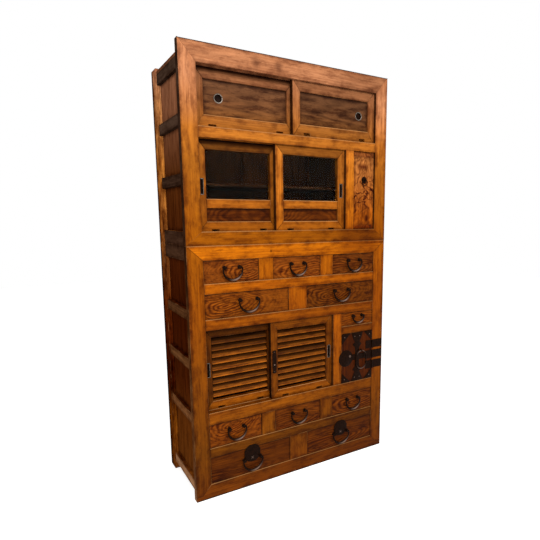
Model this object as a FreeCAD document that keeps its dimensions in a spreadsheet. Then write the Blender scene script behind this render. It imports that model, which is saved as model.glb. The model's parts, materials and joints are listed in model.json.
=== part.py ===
import FreeCAD, Part
import math
import os

# A two-case Japanese kitchen cabinet: mitred front frames, boarded sides and back,
# sliding doors, a pivoting plank door, an iron-bound door and eleven drawers.
# X runs to the right of someone facing the front, Y to the back, Z up.
# The origin is at the bottom centre of the whole, fittings included.

doc = FreeCAD.newDocument("mizuya_kitchen_cabinet")
sheet = doc.addObject("Spreadsheet::Sheet", "Sizes")

# Driving dimensions, in millimetres unless the name says share, count or angle
DRIVING_SIZES = (
    # Overall and the front frames
    ("case_width", "945"),
    ("case_depth", "378"),
    ("stile_width", "63"),
    ("stile_thick", "30"),
    ("track_depth", "66"),
    ("frame_edge_chamfer", "6"),
    # Lower case, from the floor up
    ("base_rail_height", "62"),
    ("base_strip_height", "20"),
    ("base_strip_run", "25"),
    ("row_d_height", "113"),
    ("rail_5_height", "41"),
    ("row_c_height", "98"),
    ("rail_4_height", "51"),
    ("louvre_row_height", "337"),
    ("rail_3_height", "44"),
    ("row_b_height", "99"),
    ("rail_2_height", "41"),
    ("row_a_height", "89"),
    ("lower_top_rail_height", "57"),
    # Upper case, from the joint between the cases up
    ("upper_base_rail_height", "53"),
    ("glass_row_height", "343"),
    ("mid_rail_height", "40"),
    ("panel_row_height", "216"),
    ("upper_top_rail_height", "73"),
    # Uprights of the front
    ("narrow_divider_width", "66"),
    ("wide_divider_width", "90"),
    ("louvre_post_width", "46"),
    ("glass_post_width", "43.5"),
    ("iron_door_opening", "178"),
    ("plank_door_opening", "118"),
    ("small_drawer_height", "62"),
    ("small_rail_height", "37"),
    # Sides, back and inner boards
    ("rear_post_depth", "65"),
    ("rear_post_thick", "30"),
    ("rear_post_drop", "28"),
    ("side_rail_inset", "4"),
    ("side_rail_height", "42"),
    ("side_foot_gap", "36"),
    ("side_board_thick", "12"),
    ("middle_side_rail_share", "0.54"),
    ("upper_side_rail_share", "0.5"),
    ("top_board_drop", "39"),
    ("top_board_thick", "12"),
    ("back_board_thick", "12"),
    ("back_board_count", "5"),
    ("floor_thick", "10"),
    ("partition_thick", "12"),
    ("guide_height", "18"),
    ("shelf_share", "0.54"),
    ("shelf_thick", "10"),
    # Sliding doors and their tracks
    ("door_recess", "12"),
    ("door_thick", "22"),
    ("track_gap", "4"),
    ("groove_slack", "0.5"),
    ("upper_groove_depth", "9"),
    ("upper_engagement", "6"),
    ("lower_groove_depth", "3"),
    ("door_lift", "0.3"),
    ("door_end_gap", "0.6"),
    ("panel_door_overlap", "22"),
    ("panel_door_stile", "36"),
    ("panel_door_top_rail", "41"),
    ("panel_door_base_rail", "48"),
    ("panel_thick", "8"),
    ("panel_inset", "6"),
    ("glass_door_overlap", "23"),
    ("glass_door_stile", "35"),
    ("glass_door_top_rail", "37"),
    ("glass_door_mid_rail", "35.5"),
    ("glass_door_low_panel", "50.5"),
    ("glass_door_base_rail", "37"),
    ("glass_thick", "3"),
    ("glass_inset", "9"),
    ("louvre_door_overlap", "28"),
    ("louvre_door_stile", "32"),
    ("louvre_door_top_rail", "38"),
    ("louvre_door_base_rail", "33"),
    ("slat_count", "9"),
    ("slat_pitch", "27.7"),
    ("slat_lift", "13"),
    ("slat_thick", "9"),
    ("slat_setback", "2"),
    ("roller_inset", "68"),
    ("roller_radius", "4.5"),
    ("roller_width", "7"),
    ("roller_slot_length", "30"),
    ("roller_slot_height", "9.5"),
    ("panel_slot_height", "17"),
    ("roller_slot_depth", "14"),
    ("axle_radius", "1.5"),
    # Recessed pulls and the lock strip
    ("round_pull_radius", "18"),
    ("left_round_pull_inset", "96"),
    ("right_round_pull_inset", "83"),
    ("cup_depth", "9"),
    ("cup_wall", "1.5"),
    ("cup_lip", "1"),
    ("long_pull_width", "16"),
    ("long_pull_length", "60"),
    ("long_pull_drop", "4.5"),
    ("lock_strip_width", "20"),
    ("lock_strip_length", "105"),
    ("lock_strip_drop", "9"),
    ("lock_strip_thick", "1.5"),
    # Plank door on its pivots
    ("plank_recess", "3"),
    ("plank_thick", "18"),
    ("plank_gap", "0.8"),
    ("plank_top_cleat", "24"),
    ("plank_base_cleat", "19"),
    ("plank_chamfer", "6"),
    ("pivot_radius", "3"),
    ("pivot_length", "8"),
    ("pivot_slack", "0.1"),
    ("pivot_end_gap", "1.6"),
    ("plank_ring_lift", "37"),
    ("plank_ring_plate_radius", "11"),
    ("plank_ring_radius", "13.5"),
    ("plank_ring_wire_radius", "1.5"),
    ("plank_ring_offset", "7"),
    # Iron-bound door
    ("iron_door_proud", "0.3"),
    ("iron_door_thick", "20"),
    ("iron_door_gap", "0.8"),
    ("iron_thick", "2"),
    ("corner_plate_leg", "46"),
    ("corner_plate_tip", "4"),
    ("strap_width", "33"),
    ("strap_flare_width", "65"),
    ("strap_flare_height", "62"),
    ("band_height", "28"),
    ("lock_plate_radius", "42"),
    ("lock_plate_from_left", "28"),
    ("lock_knob_radius", "8"),
    ("lock_knob_depth", "4"),
    ("lock_knob_right", "17"),
    ("lock_knob_lift", "8"),
    ("hinge_strap_height", "39"),
    ("hinge_strap_pitch", "50.5"),
    ("hinge_strap_on_door", "39"),
    ("hinge_strap_edge", "3"),
    ("knuckle_count", "3"),
    ("knuckle_radius", "4"),
    ("knuckle_slack", "0.4"),
    ("hinge_pin_radius", "2"),
    ("pin_slack", "0.08"),
    ("iron_ring_right", "20"),
    ("iron_ring_lift", "28"),
    ("iron_ring_radius", "28.5"),
    ("iron_ring_straight", "30"),
    ("iron_ring_wire_radius", "2.5"),
    ("iron_ring_offset", "9"),
    ("staple_width", "6"),
    ("staple_wall", "2.2"),
    ("staple_slack", "0.5"),
    # Drawers
    ("drawer_recess", "2"),
    ("drawer_front_thick", "18"),
    ("drawer_side_thick", "9"),
    ("drawer_base_thick", "6"),
    ("drawer_base_lift", "4"),
    ("drawer_side_drop", "8"),
    ("drawer_back_gap", "32"),
    ("drawer_side_gap", "0.8"),
    ("drawer_top_gap", "0.8"),
    ("drawer_lift", "0.3"),
    # Swinging handles: common sizes, then the bail and the height of each kind
    ("bail_offset", "10"),
    ("bail_thick", "6"),
    ("bail_low_width", "10"),
    ("bail_arm_width", "2.5"),
    ("bail_arm_rise", "3.5"),
    ("bail_pin_radius", "2"),
    ("bail_pin_slack", "0.3"),
    ("bail_pin_reach", "3.5"),
    ("bail_pin_end", "1"),
    ("eye_radius", "5.5"),
    ("eye_width", "7"),
    ("eye_gap", "0.4"),
    ("eye_arm_height", "6"),
    ("boss_radius", "8"),
    ("boss_thick", "2"),
    ("medium_bail_radius", "43"),
    ("medium_bail_drop", "54"),
    ("medium_boss_drop", "30"),
    ("large_bail_radius", "48"),
    ("large_bail_drop", "54"),
    ("large_boss_drop", "33"),
    ("low_boss_drop", "50"),
    ("small_bail_radius", "37"),
    ("small_bail_drop", "36"),
    ("small_boss_drop", "19"),
    ("plate_radius", "39"),
    ("plate_lift", "24"),
    ("plate_proud", "0.3"),
    ("plate_pad_radius", "20"),
)

for number, (alias, value) in enumerate(DRIVING_SIZES, start=1):
    sheet.set(f"A{number}", alias.replace("_", " "))
    sheet.set(f"B{number}", value)
    sheet.setAlias(f"B{number}", alias)
doc.recompute()

QUARTER_TURN = 90
HALF_TURN = 180
X_AXIS = FreeCAD.Vector(1, 0, 0)
Y_AXIS = FreeCAD.Vector(0, 1, 0)
Z_AXIS = FreeCAD.Vector(0, 0, 1)


def text_of(value):
    return value.text if isinstance(value, Size) else repr(value)


def value_of(value):
    return value.value if isinstance(value, Size) else value


class Size:
    """A size of the sheet, or one worked out from such sizes, with its expression."""

    def __init__(self, value, text):
        self.value = value
        self.text = text

    def __add__(self, other):
        return Size(self.value + value_of(other), f"({self.text} + {text_of(other)})")

    def __radd__(self, other):
        return self + other

    def __sub__(self, other):
        return Size(self.value - value_of(other), f"({self.text} - {text_of(other)})")

    def __rsub__(self, other):
        return other + -self

    def __neg__(self):
        return Size(-self.value, f"(0 - {self.text})")

    def __mul__(self, other):
        return Size(self.value * value_of(other), f"({self.text} * {text_of(other)})")

    def __rmul__(self, other):
        return self * other

    def __truediv__(self, other):
        return Size(self.value / value_of(other), f"({self.text} / {text_of(other)})")


class Sizes:
    """The sheet's sizes by name."""

    def __getattr__(self, alias):
        return Size(float(sheet.get(alias)), "Sizes." + alias)


s = Sizes()


def root(value):
    return Size(math.sqrt(value.value), f"sqrt({value.text})")


def larger(one, other):
    return Size(max(one.value, other.value), f"max({one.text}; {other.text})")


def middle(pair):
    return (pair[0] + pair[1]) / 2


def around(centre, width):
    return (centre - width / 2, centre + width / 2)


def bind(obj, name, value):
    obj.setExpression(name, text_of(value))


def put(obj, x, y, z):
    for axis, value in (("x", x), ("y", y), ("z", z)):
        bind(obj, "Placement.Base." + axis, value)


def board(name, x, y, z):
    """A squared board between two places on each axis."""
    box = doc.addObject("Part::Box", name)
    for side, pair in (("Length", x), ("Width", y), ("Height", z)):
        bind(box, side, pair[1] - pair[0])
    put(box, x[0], y[0], z[0])
    return box


def wedge(name, near, far, along, turn):
    """A block whose section near and far along its own Y differ, then turned."""
    block = doc.addObject("Part::Wedge", name)
    block.Placement = FreeCAD.Placement(FreeCAD.Vector(), turn)
    values = {
        "Ymin": along[0], "Ymax": along[1],
        "Xmin": near[0][0], "Xmax": near[0][1], "Zmin": near[1][0], "Zmax": near[1][1],
        "X2min": far[0][0], "X2max": far[0][1], "Z2min": far[1][0], "Z2max": far[1][1],
    }
    for side, value in values.items():
        bind(block, side, value)
    return block


def upright(name, x, y, z_left, z_right):
    """A standing board with slanted ends: its height at the left edge and at the right."""
    turn = FreeCAD.Rotation(Z_AXIS, QUARTER_TURN)
    return wedge(name, (y, z_right), (y, z_left), (-x[1], -x[0]), turn)


def lying(name, z, y, x_low, x_high):
    """A lying board with slanted ends: its length along the lower edge and the upper."""
    turn = FreeCAD.Rotation(X_AXIS, QUARTER_TURN)
    flat = (-y[1], -y[0])
    return wedge(name, (x_low, flat), (x_high, flat), z, turn)


def slanted(name, x, y, z_front, z_back):
    """A board that slopes from front to back."""
    return wedge(name, (x, z_front), (x, z_back), y, FreeCAD.Rotation())


def rod(name, radius, axis, length_pair, across):
    """A cylinder along one axis, at two places on the other axes in X, Y, Z order."""
    bar = doc.addObject("Part::Cylinder", name)
    bind(bar, "Radius", radius)
    bind(bar, "Height", length_pair[1] - length_pair[0])
    if axis == "x":
        bar.Placement.Rotation = FreeCAD.Rotation(Y_AXIS, QUARTER_TURN)
        put(bar, length_pair[0], across[0], across[1])
    elif axis == "y":
        bar.Placement.Rotation = FreeCAD.Rotation(X_AXIS, -QUARTER_TURN)
        put(bar, across[0], length_pair[0], across[1])
    else:
        put(bar, across[0], across[1], length_pair[0])
    return bar


def fused(name, pieces):
    whole = doc.addObject("Part::MultiFuse", name)
    whole.Shapes = pieces
    whole.Refine = True
    return whole


def group(name, pieces):
    """Separate solids that share one sub-part."""
    whole = doc.addObject("Part::Compound", name)
    whole.Links = pieces
    return whole


def cut(name, base, tools):
    hollow = doc.addObject("Part::Cut", name)
    hollow.Base = base
    hollow.Tool = tools[0] if len(tools) == 1 else group(name + "_tools", tools)
    return hollow


nodes = []


def keep(label, pieces):
    """Keeps one sub-part, under the name of its file."""
    part = group("node_" + label, pieces)
    part.Label = label
    nodes.append(part)


# Places across the width
x_left = -(s.case_width / 2)
x_right = s.case_width / 2
x_open_left = x_left + s.stile_width
x_open_right = x_right - s.stile_width
x_in_left = x_left + s.rear_post_thick
x_in_right = x_right - s.rear_post_thick
inner = (x_in_left, x_in_right)
mouth = (x_open_left, x_open_right)
mouth_width = x_open_right - x_open_left

# Places from front to back: the handles stand in front of the frame
y_front = (s.bail_offset + s.eye_radius - s.case_depth) / 2
y_stile = y_front + s.stile_thick
y_track = y_front + s.track_depth
y_back = y_front + s.case_depth
y_back_in = y_back - s.back_board_thick
y_rear_post = y_back - s.rear_post_depth
face = (y_front, y_stile)
deep = (y_front, y_track)
behind_stile = (y_stile, y_back_in)
behind_track = (y_track, y_back_in)

# Levels: each is the top of what its name says
z_base = s.base_rail_height
z_row_d = z_base + s.row_d_height
z_rail_5 = z_row_d + s.rail_5_height
z_row_c = z_rail_5 + s.row_c_height
z_rail_4 = z_row_c + s.rail_4_height
z_louvre = z_rail_4 + s.louvre_row_height
z_rail_3 = z_louvre + s.rail_3_height
z_row_b = z_rail_3 + s.row_b_height
z_rail_2 = z_row_b + s.rail_2_height
z_row_a = z_rail_2 + s.row_a_height
z_lower = z_row_a + s.lower_top_rail_height
z_upper_base = z_lower + s.upper_base_rail_height
z_glass = z_upper_base + s.glass_row_height
z_mid = z_glass + s.mid_rail_height
z_panel = z_mid + s.panel_row_height
z_top = z_panel + s.upper_top_rail_height
z_top_board = z_top - s.top_board_drop
z_under_top = z_top_board - s.top_board_thick

# Compartments across the front
x_plank_left = x_open_right - s.plank_door_opening
x_iron_left = x_open_right - s.iron_door_opening
x_glass_post = (x_plank_left - s.glass_post_width, x_plank_left)
x_louvre_post = (x_iron_left - s.louvre_post_width, x_iron_left)
panel_bay = mouth
glass_bay = (x_open_left, x_glass_post[0])
plank_bay = (x_glass_post[1], x_open_right)
louvre_bay = (x_open_left, x_louvre_post[0])
iron_bay = (x_louvre_post[1], x_open_right)
z_small_floor = z_louvre - s.small_drawer_height
z_iron_top = z_small_floor - s.small_rail_height
iron_middle = middle((z_rail_4, z_iron_top))

# Tracks: the left door of each pair runs in the rear one
front_door_y = (y_front + s.door_recess, y_front + s.door_recess + s.door_thick)
rear_door_y = (front_door_y[1] + s.track_gap, front_door_y[1] + s.track_gap + s.door_thick)


def grooves(name, bay, z):
    """The two grooves of a track, as solids to cut away."""
    tools = []
    for place, y in (("front", front_door_y), ("rear", rear_door_y)):
        wide = (y[0] - s.groove_slack, y[1] + s.groove_slack)
        tools.append(board(f"{name}_{place}", bay, wide, z))
    return tools


def over_track(name, bay, z):
    return grooves(name, bay, (z, z + s.upper_groove_depth))


def under_track(name, bay, z):
    return grooves(name, bay, (z - s.lower_groove_depth, z))


# Pivots of the plank door: its right edge is rounded about them
plank_y = (y_front + s.plank_recess, y_front + s.plank_recess + s.plank_thick)
pivot_x = x_open_right - s.plank_gap - s.plank_thick / 2
pivot_y = middle(plank_y)


def pivot_hole(name, z):
    return rod(name, s.pivot_radius + s.pivot_slack, "z", z, (pivot_x, pivot_y))


# Front frame of the upper case
def top_rail():
    """Mitred into both stiles, with its upper front edge eased and a track beneath."""
    front = lying("top_rail_front", (z_panel, z_top), face, mouth, (x_left, x_right))
    rear = board("top_rail_rear", inner, (y_stile, y_track), (z_panel, z_under_top))
    low = z_top - s.frame_edge_chamfer
    ease = slanted("top_rail_ease", (x_left, x_right), (y_front, y_front + s.frame_edge_chamfer),
                   (low, z_top + s.frame_edge_chamfer), (z_top, z_top + s.frame_edge_chamfer))
    whole = fused("top_rail_whole", [front, rear])
    return cut("top_rail", whole, [ease] + over_track("top_rail_groove", panel_bay, z_panel))


def grooved_rail(name, z, tools):
    return cut(name, board(name + "_blank", mouth, deep, z), tools)


upper_mid_rail = grooved_rail(
    "upper_mid_rail", (z_glass, z_mid),
    under_track("panel_floor_groove", panel_bay, z_mid)
    + over_track("glass_head_groove", glass_bay, z_glass)
    + [pivot_hole("upper_pivot_hole", (z_glass, z_glass + s.pivot_length))],
)
upper_base_blank = fused("upper_base_rail_blank", [
    lying("upper_base_rail_front", (z_lower, z_upper_base), face, (x_left, x_right), mouth),
    board("upper_base_rail_rear", inner, (y_stile, y_track), (z_lower, z_upper_base)),
])
upper_base_rail = cut(
    "upper_base_rail", upper_base_blank,
    under_track("glass_floor_groove", glass_bay, z_upper_base)
    + [pivot_hole("lower_pivot_hole", (z_upper_base - s.pivot_length, z_upper_base))],
)
glass_post = board("glass_post", x_glass_post, deep, (z_upper_base, z_glass))

upper_stiles = [
    upright("upper_stile_left", (x_left, x_open_left), face, (z_lower, z_top), (z_upper_base, z_panel)),
    upright("upper_stile_right", (x_open_right, x_right), face, (z_upper_base, z_panel), (z_lower, z_top)),
]


def jambs(name, z):
    """Strips behind the stiles that the sliding doors close against."""
    y = (y_stile, y_track)
    return [board(name + "_left", (x_in_left, x_open_left), y, z),
            board(name + "_right", (x_open_right, x_in_right), y, z)]


def rear_posts(name, z):
    y = (y_rear_post, y_back)
    return [board(name + "_left", (x_left, x_in_left), y, z),
            board(name + "_right", (x_in_right, x_right), y, z)]


def side_rails(name, heights):
    """Rails of both sides, from the stiles to the rear posts."""
    rails = []
    for number, z in enumerate(heights, start=1):
        y = (y_stile, y_rear_post)
        rails.append(board(f"{name}_left_{number}", (x_left + s.side_rail_inset, x_in_left), y, z))
        rails.append(board(f"{name}_right_{number}", (x_in_right, x_right - s.side_rail_inset), y, z))
    return rails


def side_boards(name, heights):
    """Boards between one side rail and the next, flush with the rails inside."""
    boards = []
    for number, (below, above) in enumerate(zip(heights, heights[1:]), start=1):
        y, z = (y_stile, y_rear_post), (below[1], above[0])
        boards.append(board(f"{name}_left_{number}", (x_in_left - s.side_board_thick, x_in_left), y, z))
        boards.append(board(f"{name}_right_{number}", (x_in_right, x_in_right + s.side_board_thick), y, z))
    return boards


def back_boards(name, z):
    """Upright boards side by side between the rear posts."""
    count = int(s.back_board_count.value)
    width = (x_in_right - x_in_left) / s.back_board_count
    boards = []
    for number in range(count):
        x = (x_in_left + width * number, x_in_left + width * (number + 1))
        boards.append(board(f"{name}_{number + 1}", x, (y_back_in, y_back), z))
    return boards


upper_glass_side = z_upper_base + s.glass_row_height * s.upper_side_rail_share
upper_side_heights = [
    (z_lower, z_upper_base),
    (upper_glass_side, upper_glass_side + s.side_rail_height),
    (z_mid, z_mid + s.side_rail_height),
    (z_under_top - s.side_rail_height, z_under_top),
]
keep("upper_case_frame",
     upper_stiles + [top_rail(), upper_mid_rail, upper_base_rail, glass_post]
     + jambs("glass_jamb", (z_upper_base, z_glass)) + jambs("panel_jamb", (z_mid, z_panel))
     + rear_posts("upper_rear_post", (z_lower, z_top - s.rear_post_drop))
     + side_rails("upper_side_rail", upper_side_heights))
keep("upper_case_boards",
     side_boards("upper_side_board", upper_side_heights)
     + back_boards("upper_back_board", (z_lower, z_under_top))
     + [board("top_board_front", (x_left + s.side_rail_inset, x_right - s.side_rail_inset),
              (y_stile, y_rear_post), (z_under_top, z_top_board)),
        board("top_board_rear", inner, (y_rear_post, y_back), (z_under_top, z_top_board))])

glass_partition = (x_glass_post[1] - s.partition_thick, x_glass_post[1])
z_shelf = z_upper_base + s.glass_row_height * s.shelf_share
keep("upper_case_floors", [
    board("panel_floor", inner, behind_track, (z_mid - s.floor_thick, z_mid)),
    board("glass_shelf", (x_in_left, glass_partition[0]), behind_track, (z_shelf - s.shelf_thick, z_shelf)),
    board("glass_partition", glass_partition, behind_track, (z_upper_base, z_mid - s.floor_thick)),
    board("upper_case_floor", inner, behind_track, (z_upper_base - s.floor_thick, z_upper_base)),
])

# Front frame of the lower case
slope = (s.base_rail_height - s.base_strip_height) / (s.stile_width - s.base_strip_run)
stile_dip = s.base_rail_height - slope * s.stile_width
foot = (s.base_strip_height, s.base_rail_height)


def lower_stile(name, x, z_left, z_right):
    """Mitred at the head and part mitred at the foot, over the base rail's strip."""
    blank = upright(name + "_blank", x, face, z_left, z_right)
    below = board(name + "_below", x, face, (stile_dip, s.base_strip_height))
    return cut(name, blank, [below])


z_outer = (stile_dip, z_lower)
z_inner = (z_base, z_row_a)
base_rail = fused("base_rail", [
    board("base_strip", (x_left, x_right), face, (0, s.base_strip_height)),
    lying("base_rail_body", foot, face, (x_left + s.base_strip_run, x_right - s.base_strip_run), mouth),
])
rail_3 = cut("rail_3", board("rail_3_blank", mouth, deep, (z_louvre, z_rail_3)),
             over_track("louvre_head_groove", louvre_bay, z_louvre))
rail_4 = cut("rail_4", board("rail_4_blank", mouth, deep, (z_row_c, z_rail_4)),
             under_track("louvre_floor_groove", louvre_bay, z_rail_4))
drawer_rails = [
    board("rail_5", mouth, face, (z_row_d, z_rail_5)),
    board("rail_2", mouth, face, (z_row_b, z_rail_2)),
    board("small_rail", iron_bay, face, (z_iron_top, z_small_floor)),
]


def split_mouth(count, divider):
    """Equal drawer openings across the front, and the dividers between them."""
    width = (mouth_width - divider * (count - 1)) / count
    bays = [(x_open_left + (width + divider) * number, x_open_left + (width + divider) * number + width)
            for number in range(count)]
    posts = [(left[1], right[0]) for left, right in zip(bays, bays[1:])]
    return bays, posts


three_bays, three_posts = split_mouth(3, s.narrow_divider_width)
two_bays, two_posts = split_mouth(2, s.wide_divider_width)
drawer_rows = {
    "a": (three_bays, three_posts, (z_rail_2, z_row_a)),
    "b": (two_bays, two_posts, (z_rail_3, z_row_b)),
    "c": (three_bays, three_posts, (z_rail_5, z_row_c)),
    "d": (two_bays, two_posts, (z_base, z_row_d)),
}
dividers = []
guides = []
for row, (bays, posts, z) in drawer_rows.items():
    for number, x in enumerate(posts, start=1):
        dividers.append(board(f"divider_{row}{number}", x, face, z))
    sides = [(x_in_left, x_open_left)] + posts + [(x_open_right, x_in_right)]
    for number, x in enumerate(sides, start=1):
        guides.append(board(f"guide_{row}{number}", x, behind_stile, (z[0], z[0] + s.guide_height)))

middle_side_rail = z_rail_4 + s.louvre_row_height * s.middle_side_rail_share
lower_side_heights = [
    (s.side_foot_gap, s.side_foot_gap + s.side_rail_height),
    (z_rail_4 - s.side_rail_height, z_rail_4),
    (middle_side_rail, middle_side_rail + s.side_rail_height),
    (z_rail_3, z_rail_3 + s.side_rail_height),
    (z_row_a, z_lower),
]
keep("lower_case_frame",
     [lower_stile("lower_stile_left", (x_left, x_open_left), z_outer, z_inner),
      lower_stile("lower_stile_right", (x_open_right, x_right), z_inner, z_outer),
      lying("lower_top_rail", (z_row_a, z_lower), face, mouth, (x_left, x_right)),
      base_rail, rail_3, rail_4,
      board("louvre_post", x_louvre_post, deep, (z_rail_4, z_louvre))]
     + drawer_rails + dividers
     + jambs("louvre_jamb", (z_rail_4, z_louvre))
     + rear_posts("lower_rear_post", (0, z_lower))
     + side_rails("lower_side_rail", lower_side_heights))
keep("lower_case_boards",
     side_boards("lower_side_board", lower_side_heights)
     + back_boards("lower_back_board", (s.side_foot_gap, z_lower))
     + [board("lower_top_board", inner, behind_stile, (z_lower - s.top_board_thick, z_lower))])

louvre_partition = (x_louvre_post[1] - s.partition_thick, x_louvre_post[1])
small_side = (x_open_right, x_in_right)
floors = [board(f"floor_{name}", inner, y, (z - s.floor_thick, z))
          for name, y, z in (("base", behind_stile, z_base), ("rail_5", behind_stile, z_rail_5),
                             ("rail_4", behind_track, z_rail_4), ("rail_3", behind_track, z_rail_3),
                             ("rail_2", behind_stile, z_rail_2))]
keep("lower_case_floors", floors + guides + [
    board("louvre_partition", louvre_partition, behind_track,
          (z_rail_4, z_rail_3 - s.floor_thick)),
    board("small_floor", (louvre_partition[1], x_in_right), behind_track,
          (z_small_floor - s.floor_thick, z_small_floor)),
    board("small_floor_front", iron_bay, (y_stile, y_track),
          (z_small_floor - s.floor_thick, z_small_floor)),
    board("small_guide", small_side, behind_track, (z_small_floor, z_small_floor + s.guide_height)),
])


# Sliding doors
def mitred_frame(name, x, y, z, stile, rails, mortises):
    """Two stiles and two rails that meet in mitres, with mortises in the lower rail."""
    inside_x = (x[0] + stile, x[1] - stile)
    inside_z = (z[0] + rails[0], z[1] - rails[1])
    low_rail = lying(name + "_low_rail", (z[0], inside_z[0]), y, x, inside_x)
    pieces = [
        upright(name + "_left_stile", (x[0], inside_x[0]), y, z, inside_z),
        upright(name + "_right_stile", (inside_x[1], x[1]), y, inside_z, z),
        lying(name + "_top_rail", (inside_z[1], z[1]), y, inside_x, x),
        cut(name + "_mortised_rail", low_rail, mortises),
    ]
    return pieces, inside_x, inside_z


def rollers(name, x, y, z_low, slot_height):
    """Two iron rollers, each on an axle in a mortise that opens under a door and at its front."""
    slot_y = (y[0], y[0] + s.roller_slot_depth)
    slot_z = (z_low, z_low + slot_height)
    axle_z = z_low + s.roller_radius
    wheels, mortises = [], []
    for number, centre in enumerate((x[0] + s.roller_inset, x[1] - s.roller_inset), start=1):
        mortises.append(board(f"{name}_mortise_{number}", around(centre, s.roller_slot_length),
                              slot_y, slot_z))
        wheel = rod(f"{name}_wheel_{number}", s.roller_radius, "y",
                    around(middle(slot_y), s.roller_width), (centre, axle_z))
        axle = rod(f"{name}_axle_{number}", s.axle_radius, "y",
                   (middle(slot_y), slot_y[1]), (centre, axle_z))
        wheels.append(fused(f"{name}_roller_{number}", [wheel, axle]))
    return wheels, mortises


def long_cup(name, x_middle, y_face, z_middle):
    """A long recessed pull, and the mortise that it sits in."""
    x, z = around(x_middle, s.long_pull_width), around(z_middle, s.long_pull_length)
    y = (y_face, y_face + s.cup_depth)
    hollow = board(name + "_hollow", (x[0] + s.cup_wall, x[1] - s.cup_wall),
                   (y[0], y[1] - s.cup_wall), (z[0] + s.cup_wall, z[1] - s.cup_wall))
    return (cut(name, board(name + "_blank", x, y, z), [hollow]), board(name + "_mortise", x, y, z))


def round_cup(name, x_middle, y_face, z_middle):
    """A round recessed pull with a lip, and the hole that it sits in."""
    centre = (x_middle, z_middle)
    y = (y_face - s.cup_lip, y_face + s.cup_depth)
    blank = rod(name + "_blank", s.round_pull_radius, "y", y, centre)
    hollow = rod(name + "_hollow", s.round_pull_radius - s.cup_wall, "y", (y[0], y[1] - s.cup_wall), centre)
    hole = rod(name + "_hole", s.round_pull_radius, "y", (y_face, y_face + s.panel_thick), centre)
    return cut(name, blank, [hollow]), hole


def door_places(bay, overlap, z):
    """Where each door of a pair stands: across, from front to back, and up."""
    width = (bay[1] - bay[0] + overlap) / 2
    height = (z[0] - s.lower_groove_depth + s.door_lift, z[1] + s.upper_engagement)
    left = (bay[0] + s.door_end_gap, bay[0] + width)
    right = (bay[1] - width, bay[1] - s.door_end_gap)
    return (("left", left, rear_door_y, height), ("right", right, front_door_y, height))


def outer_stile_middle(side, x, stile):
    return x[0] + stile / 2 if side == "left" else x[1] - stile / 2


for side, x, y, z in door_places(panel_bay, s.panel_door_overlap, (z_mid, z_panel)):
    name = f"panel_door_{side}"
    wheels, mortises = rollers(name, x, y, z[0], s.panel_slot_height)
    rails = (s.panel_door_base_rail + s.lower_groove_depth, s.panel_door_top_rail + s.upper_engagement)
    frame, inside_x, inside_z = mitred_frame(name, x, y, z, s.panel_door_stile, rails, mortises)
    panel_y = (y[0] + s.panel_inset, y[0] + s.panel_inset + s.panel_thick)
    pull_x = x[0] + s.left_round_pull_inset if side == "left" else x[1] - s.right_round_pull_inset
    cup, hole = round_cup(name + "_cup", pull_x, panel_y[0], middle(inside_z))
    panel = cut(name + "_panel", board(name + "_panel_blank", inside_x, panel_y, inside_z), [hole])
    keep(name, frame + [panel])
    keep(name + "_fittings", wheels + [cup])

for side, x, y, z in door_places(glass_bay, s.glass_door_overlap, (z_upper_base, z_glass)):
    name = f"glass_door_{side}"
    wheels, mortises = rollers(name, x, y, z[0], s.roller_slot_height)
    rails = (s.glass_door_base_rail + s.lower_groove_depth, s.glass_door_top_rail + s.upper_engagement)
    frame, inside_x, inside_z = mitred_frame(name, x, y, z, s.glass_door_stile, rails, mortises)
    low_panel_z = (inside_z[0], inside_z[0] + s.glass_door_low_panel)
    mid_rail_z = (low_panel_z[1], low_panel_z[1] + s.glass_door_mid_rail)
    pane_y = (y[0] + s.glass_inset, y[0] + s.glass_inset + s.glass_thick)
    low_panel_y = (y[0] + s.panel_inset, y[0] + s.panel_inset + s.panel_thick)
    pull = 0 if side == "left" else 1
    pull_x = outer_stile_middle(side, x, s.glass_door_stile)
    cup, mortise = long_cup(name + "_cup", pull_x, y[0], middle(z) - s.long_pull_drop)
    frame[pull] = cut(name + "_pulled_stile", frame[pull], [mortise])
    keep(name, frame + [
        board(name + "_mid_rail", inside_x, y, mid_rail_z),
        board(name + "_low_panel", inside_x, low_panel_y, low_panel_z),
    ])
    keep(name + "_glass", [board(name + "_pane", inside_x, pane_y, (mid_rail_z[1], inside_z[1]))])
    keep(name + "_fittings", wheels + [cup])

for side, x, y, z in door_places(louvre_bay, s.louvre_door_overlap, (z_rail_4, z_louvre)):
    name = f"louvre_door_{side}"
    wheels, mortises = rollers(name, x, y, z[0], s.roller_slot_height)
    rails = (s.louvre_door_base_rail + s.lower_groove_depth, s.louvre_door_top_rail + s.upper_engagement)
    frame, inside_x, inside_z = mitred_frame(name, x, y, z, s.louvre_door_stile, rails, mortises)
    pull = 0 if side == "left" else 1
    pull_x = outer_stile_middle(side, x, s.louvre_door_stile)
    cup, mortise = long_cup(name + "_cup", pull_x, y[0], middle(z) - s.long_pull_drop)
    frame[pull] = cut(name + "_pulled_stile", frame[pull], [mortise])
    slat_y = (y[0] + s.slat_setback, y[1] - s.slat_setback)
    for number in range(int(s.slat_count.value)):
        z_slat = inside_z[0] + s.slat_lift + s.slat_pitch * number
        z_front = (z_slat, z_slat + s.slat_thick)
        z_back = (z_slat + s.slat_pitch - s.slat_thick, z_slat + s.slat_pitch)
        frame.append(slanted(f"{name}_slat_{number + 1}", inside_x, slat_y, z_front, z_back))
    metal = wheels + [cup]
    if side == "right":
        strip_x = around(x[0] + s.louvre_door_stile / 2, s.lock_strip_width)
        metal.append(board("louvre_lock_strip", strip_x, (y[0] - s.lock_strip_thick, y[0]),
                           around(middle(z) - s.lock_strip_drop, s.lock_strip_length)))
    keep(name, frame)
    keep(name + "_fittings", metal)


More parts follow.
